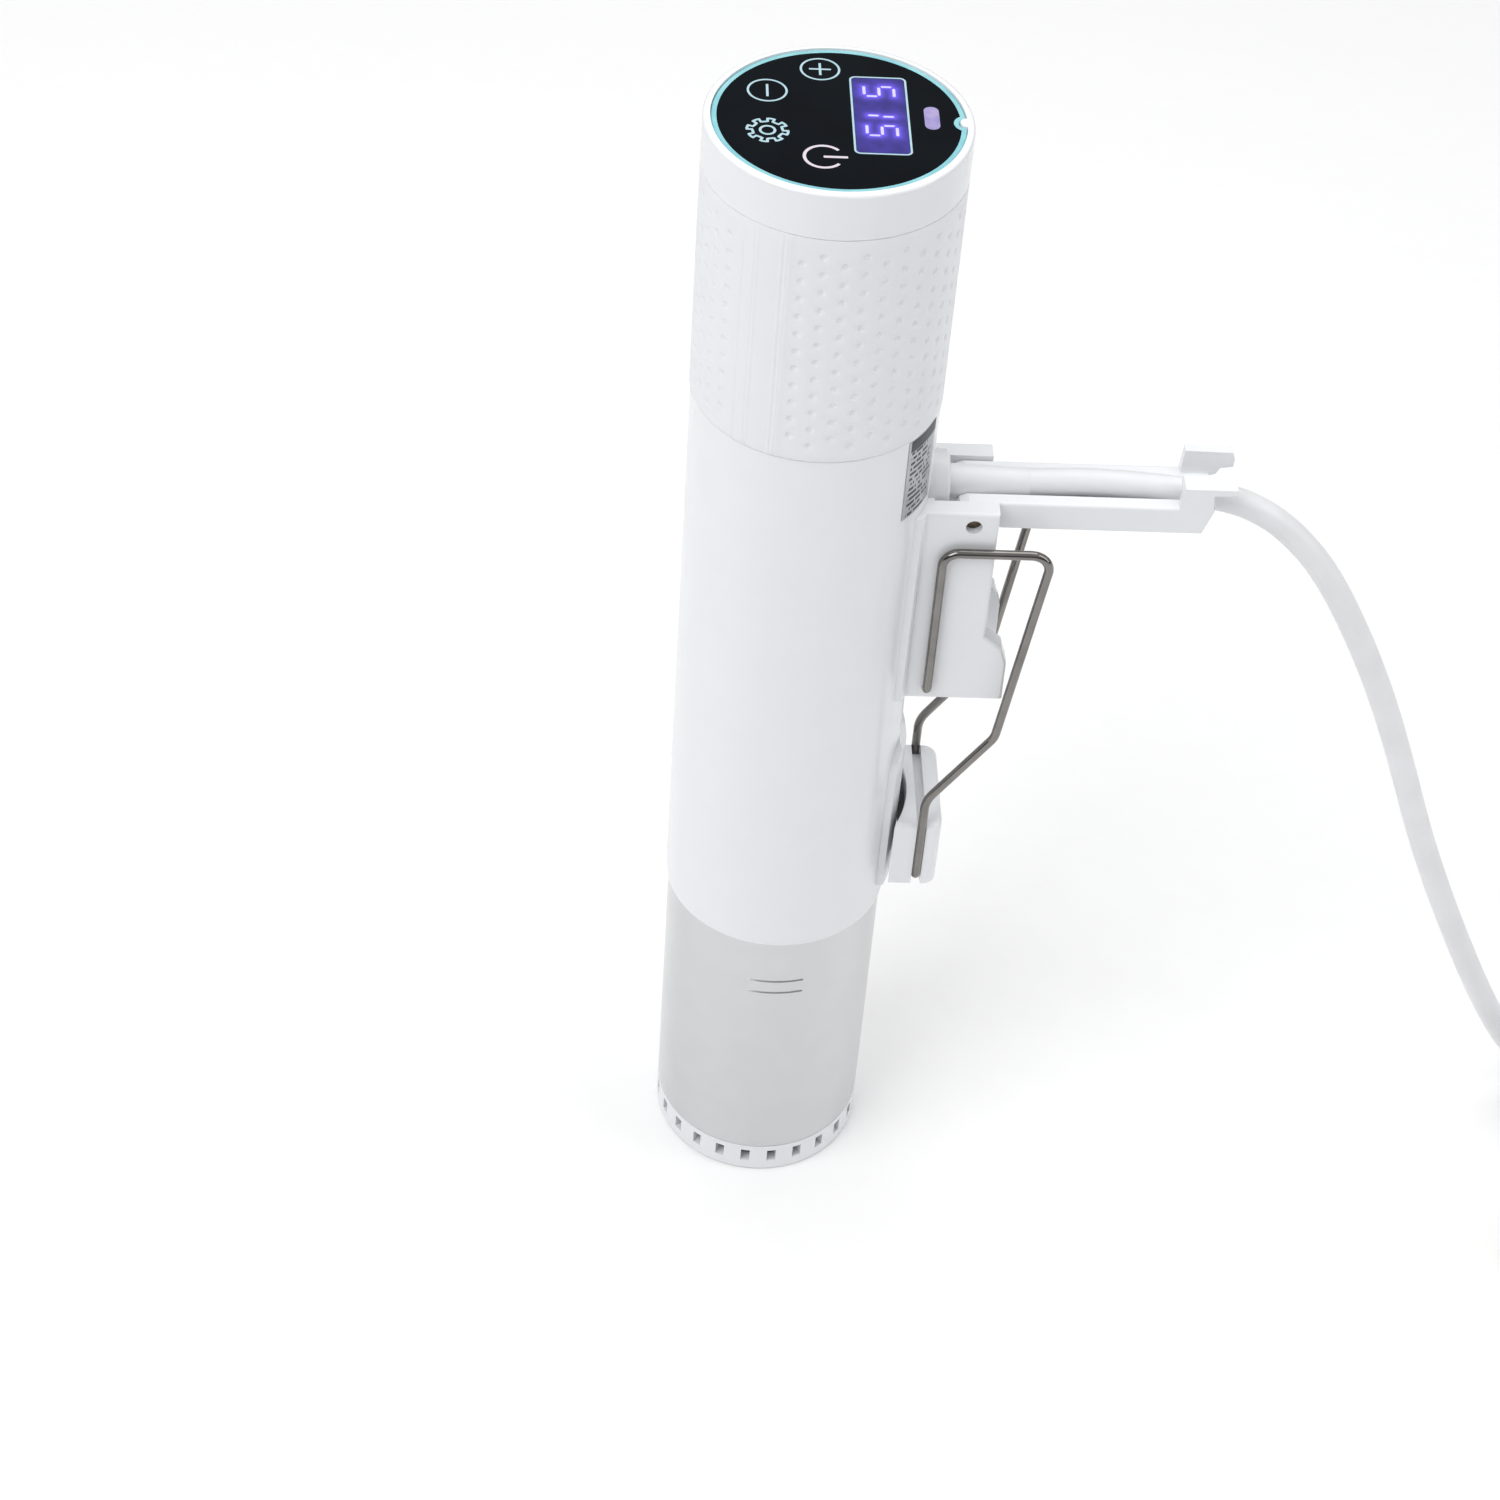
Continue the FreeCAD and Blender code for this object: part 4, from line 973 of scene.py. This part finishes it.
def key_symbol(kind):
    """The flat shape of one key."""
    shape = bmesh.new()
    if kind in ("plus", "minus"):
        flat_ring(shape, 5.0, 4.45)
        flat_bar(shape, 5.4, 0.6)
    if kind == "plus":
        flat_bar(shape, 0.6, 5.4)
    if kind == "gear":
        gear_outline(shape)
    if kind == "power":
        flat_ring(shape, 5.0, 4.2, 90 + 38, 360 - 76)
        flat_bar(shape, 0.85, 5.8, 0, 2.9)
    return on_panel(shape, *KEYS[kind])


for kind in KEYS:
    symbol = piece_from(key_symbol(kind), "symbol_" + kind)
    finish_piece(symbol, "body", power_light if kind == "power" else key_light)

# %% [markdown]
# ## Display window
#
# The window is a violet-blue field with three digits of seven bars each and a pale frame
# round it. Light from the bars spreads into the plastic around them. To get that, the
# window is a fine grid, each point stores how far it is from a lit bar, and the finish
# turns that stored number into the glow.

# %% Seven-bar digits
DIGIT_WIDTH, DIGIT_HEIGHT, BAR = 4.6, 7.3, 0.72
DIGIT_LIFT = 0.00004
BARS = {
    "a": (0, 1, True), "g": (0, 0, True), "d": (0, -1, True),
    "f": (-0.5, 0.5, False), "b": (0.5, 0.5, False),
    "e": (-0.5, -0.5, False), "c": (0.5, -0.5, False),
}
READING = {"5": "afgcd", "1": "bc"}
DIGIT_PLACES = [("5", 12.7), ("1", 4.2), ("5", -4.4)]


def bar_sizes(name):
    """Centre and size of one bar in the digit's own frame."""
    across, up, lying = BARS[name]
    centre = (across * DIGIT_WIDTH, up * DIGIT_HEIGHT / 2)
    size = (DIGIT_WIDTH - 0.9, BAR) if lying else (BAR, DIGIT_HEIGHT / 2 - 0.9)
    return centre, size


lit_bars = []
for digit, y in DIGIT_PLACES:
    for name in READING[digit]:
        (across, up), size = bar_sizes(name)
        lean = 0.10 * up
        lit_bars.append((10.2 + up, y - across - lean, size))


def digits_shape():
    """All lit bars, placed on the panel."""
    shape = bmesh.new()
    for x, y, (width, height) in lit_bars:
        bar = bmesh.new()
        flat_bar(bar, width, height, cut=0.3)
        on_panel(bar, x, y)
        bmesh.ops.translate(bar, vec=(0, 0, DIGIT_LIFT), verts=bar.verts)
        paste(shape, bar)
    return shape


digits = piece_from(digits_shape(), "lit_digits")
finish_piece(digits, "body", digit_light)

# %% Display field and its glow
WINDOW = (3.7, 16.5, -14.0, 18.6)


def glow_at(x, y):
    """Strength of the light that has spread to a point, from 0 to 1."""
    nearest = 99.0
    for bar_x, bar_y, (width, height) in lit_bars:
        dx = max(abs(x - bar_x) - height / 2, 0.0)
        dy = max(abs(y - bar_y) - width / 2, 0.0)
        nearest = min(nearest, math.hypot(dx, dy))
    return math.exp(-nearest / 0.85)


def display_glow():
    material, tree, shader, where = start_finish("display_glow")
    stored = add(tree, "ShaderNodeAttribute", attribute_name="glow").outputs["Fac"]
    mottled = use_group(tree, MARKS, where, Patch_size_mm=5.0)["Mask"]
    field = blend_colours(tree, mottled, (0.010, 0.006, 0.085), (0.020, 0.013, 0.15))
    lit = blend_colours(tree, stored, field, (0.17, 0.11, 0.92))
    tree.links.new(field, shader.inputs["Base Color"])
    tree.links.new(lit, shader.inputs["Emission Color"])
    shader.inputs["Emission Strength"].default_value = 1.0
    tree.links.new(swing(tree, mottled, 0.15, 0.25), shader.inputs["Roughness"])
    return material


x_low, x_high, y_low, y_high = WINDOW
field_shape = bmesh.new()
bmesh.ops.create_grid(field_shape, x_segments=46, y_segments=104, size=0.5)
bmesh.ops.scale(field_shape, vec=(x_high - x_low, y_high - y_low, 1), verts=field_shape.verts)
bmesh.ops.translate(
    field_shape, vec=((x_low + x_high) / 2, (y_low + y_high) / 2, 0), verts=field_shape.verts)
bmesh.ops.scale(field_shape, vec=(MM, MM, 1), verts=field_shape.verts)
bmesh.ops.translate(field_shape, vec=(0, 0, SYMBOL_Z), verts=field_shape.verts)
display_field = piece_from(field_shape, "display_field")
stored = display_field.data.attributes.new("glow", "FLOAT", "POINT")
for vert in display_field.data.vertices:
    stored.data[vert.index].value = glow_at(vert.co.x / MM, vert.co.y / MM)
finish_piece(display_field, "body", display_glow())

# %% [markdown]
# The pale frame is a rounded rectangle made from a grid face whose corners are bevelled
# flat, then inset, with the middle removed. The lamp window is the same without the hole.

# %% Rounded window frame and lamp
def rounded_plate(x_low, x_high, y_low, y_high, radius, rim=0.0, lift=0.0):
    """A flat rounded rectangle, or only its rim."""
    shape = bmesh.new()
    bmesh.ops.create_grid(shape, x_segments=1, y_segments=1, size=0.5)
    bmesh.ops.scale(shape, vec=(x_high - x_low, y_high - y_low, 1), verts=shape.verts)
    bmesh.ops.bevel(shape, geom=shape.verts[:], offset=radius, segments=8, profile=0.5,
                    material=-1, affect="VERTICES")
    if rim:
        middle = shape.faces[:]
        bmesh.ops.inset_individual(shape, faces=middle, thickness=rim)
        bmesh.ops.delete(shape, geom=middle, context="FACES")
    centre = Vector(((x_low + x_high) / 2, (y_low + y_high) / 2, 0))
    bmesh.ops.translate(shape, vec=centre, verts=shape.verts)
    bmesh.ops.scale(shape, vec=(MM, MM, 1), verts=shape.verts)
    bmesh.ops.translate(shape, vec=(0, 0, SYMBOL_Z + lift), verts=shape.verts)
    return shape


frame_shape = rounded_plate(3.1, 17.1, -14.6, 19.2, 1.6, rim=0.5, lift=0.00003)
window_frame = piece_from(frame_shape, "display_frame")
finish_piece(window_frame, "body", key_light)
lamp = piece_from(rounded_plate(20.7, 24.4, -3.1, 6.8, 1.84), "status_window")
finish_piece(lamp, "body", lamp_light)

# %% [markdown]
# ## Foil label
#
# The sticker is a short upright edge spun round the body through 24 degrees, which gives a
# thin curved patch. Each point knows its angle and height, so its UV is easy to store.

# %% Rating label
LABEL_LOW, LABEL_HIGH = (corner[2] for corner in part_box("rating_label"))
LABEL_FROM, LABEL_TO = math.radians(-45), math.radians(-21)
LABEL_R = 0.03283

label_shape = bmesh.new()
ends = [label_shape.verts.new((LABEL_R * math.cos(LABEL_FROM), LABEL_R * math.sin(LABEL_FROM), z))
        for z in (LABEL_LOW, LABEL_HIGH)]
upright = label_shape.edges.new(ends)
bmesh.ops.spin(label_shape, geom=ends + [upright], axis=(0, 0, 1), cent=(0, 0, 0),
               angle=LABEL_TO - LABEL_FROM, steps=16)
bmesh.ops.recalc_face_normals(label_shape, faces=label_shape.faces)
if label_shape.faces[0].normal.dot(label_shape.faces[0].calc_center_median()) < 0:
    bmesh.ops.reverse_faces(label_shape, faces=label_shape.faces)
uv_map = label_shape.loops.layers.uv.new("UVMap")
for face in label_shape.faces:
    for corner in face.loops:
        place = corner.vert.co
        along = (math.atan2(place.y, place.x) - LABEL_FROM) / (LABEL_TO - LABEL_FROM)
        corner[uv_map].uv = (along, (place.z - LABEL_LOW) / (LABEL_HIGH - LABEL_LOW))
label = piece_from(label_shape, "foil_sticker")
finish_piece(label, "body", finishes["foil_label"])
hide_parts("rating_label")

# %% [markdown]
# ## Strain relief
#
# Where the cord leaves the body a soft sleeve keeps it from kinking. It is plain and hardly
# thicker than the cord: a profile that tapers along the cord, spun about the cord's axis.
# It has many rings of points along the cord.

# %% Tapered sleeve
relief_low, relief_high = (Vector(corner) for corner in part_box("strain_relief"))
print("strain relief box:", [round(x, 4) for x in (*relief_low, *relief_high)])


def relief_shape():
    """Profile along the cord, spun about it."""
    start, end = relief_low.x, relief_high.x
    thick, thin = (relief_high.z - relief_low.z) / 2, CORD_RADIUS + 0.0003
    steps = 12
    profile = [(start, CORD_RADIUS * 0.98)]
    for step in range(steps):
        share = step / (steps - 1)
        eased = share * share * (3 - 2 * share)
        profile.append((start + (end - start - 0.0004) * share, thick + (thin - thick) * eased))
    profile += [(end, thin - 0.00025), (end, CORD_RADIUS * 0.98)]
    shape = bmesh.new()
    verts = [shape.verts.new((x, 0, radius)) for x, radius in profile]
    edges = [shape.edges.new(pair) for pair in zip(verts, verts[1:])]
    bmesh.ops.spin(shape, geom=verts + edges, axis=(1, 0, 0), cent=(0, 0, 0),
                   angle=math.tau, steps=32, use_merge=True)
    bmesh.ops.recalc_face_normals(shape, faces=shape.faces)
    bmesh.ops.translate(shape, vec=(0, 0, 0.2588), verts=shape.verts)
    return shape


relief = piece_from(relief_shape(), "tapered_relief", 50.0)
relief.data.materials.append(finishes["white_cord"])
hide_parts("strain_relief")

# %% [markdown]
# ## Cord finish
#
# The cord in the guide, the strain relief and the lead get the white cord finish. The lead
# is held by the guide's clip at one end and rests on the table at the other.

for piece in (held_cord, mains_lead):
    piece.data.materials.append(finishes["white_cord"])
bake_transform(held_cord)
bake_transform(relief)
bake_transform(mains_lead)
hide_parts("cord_held")
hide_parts("cord_drop", "cord_coil", "cord_tail")
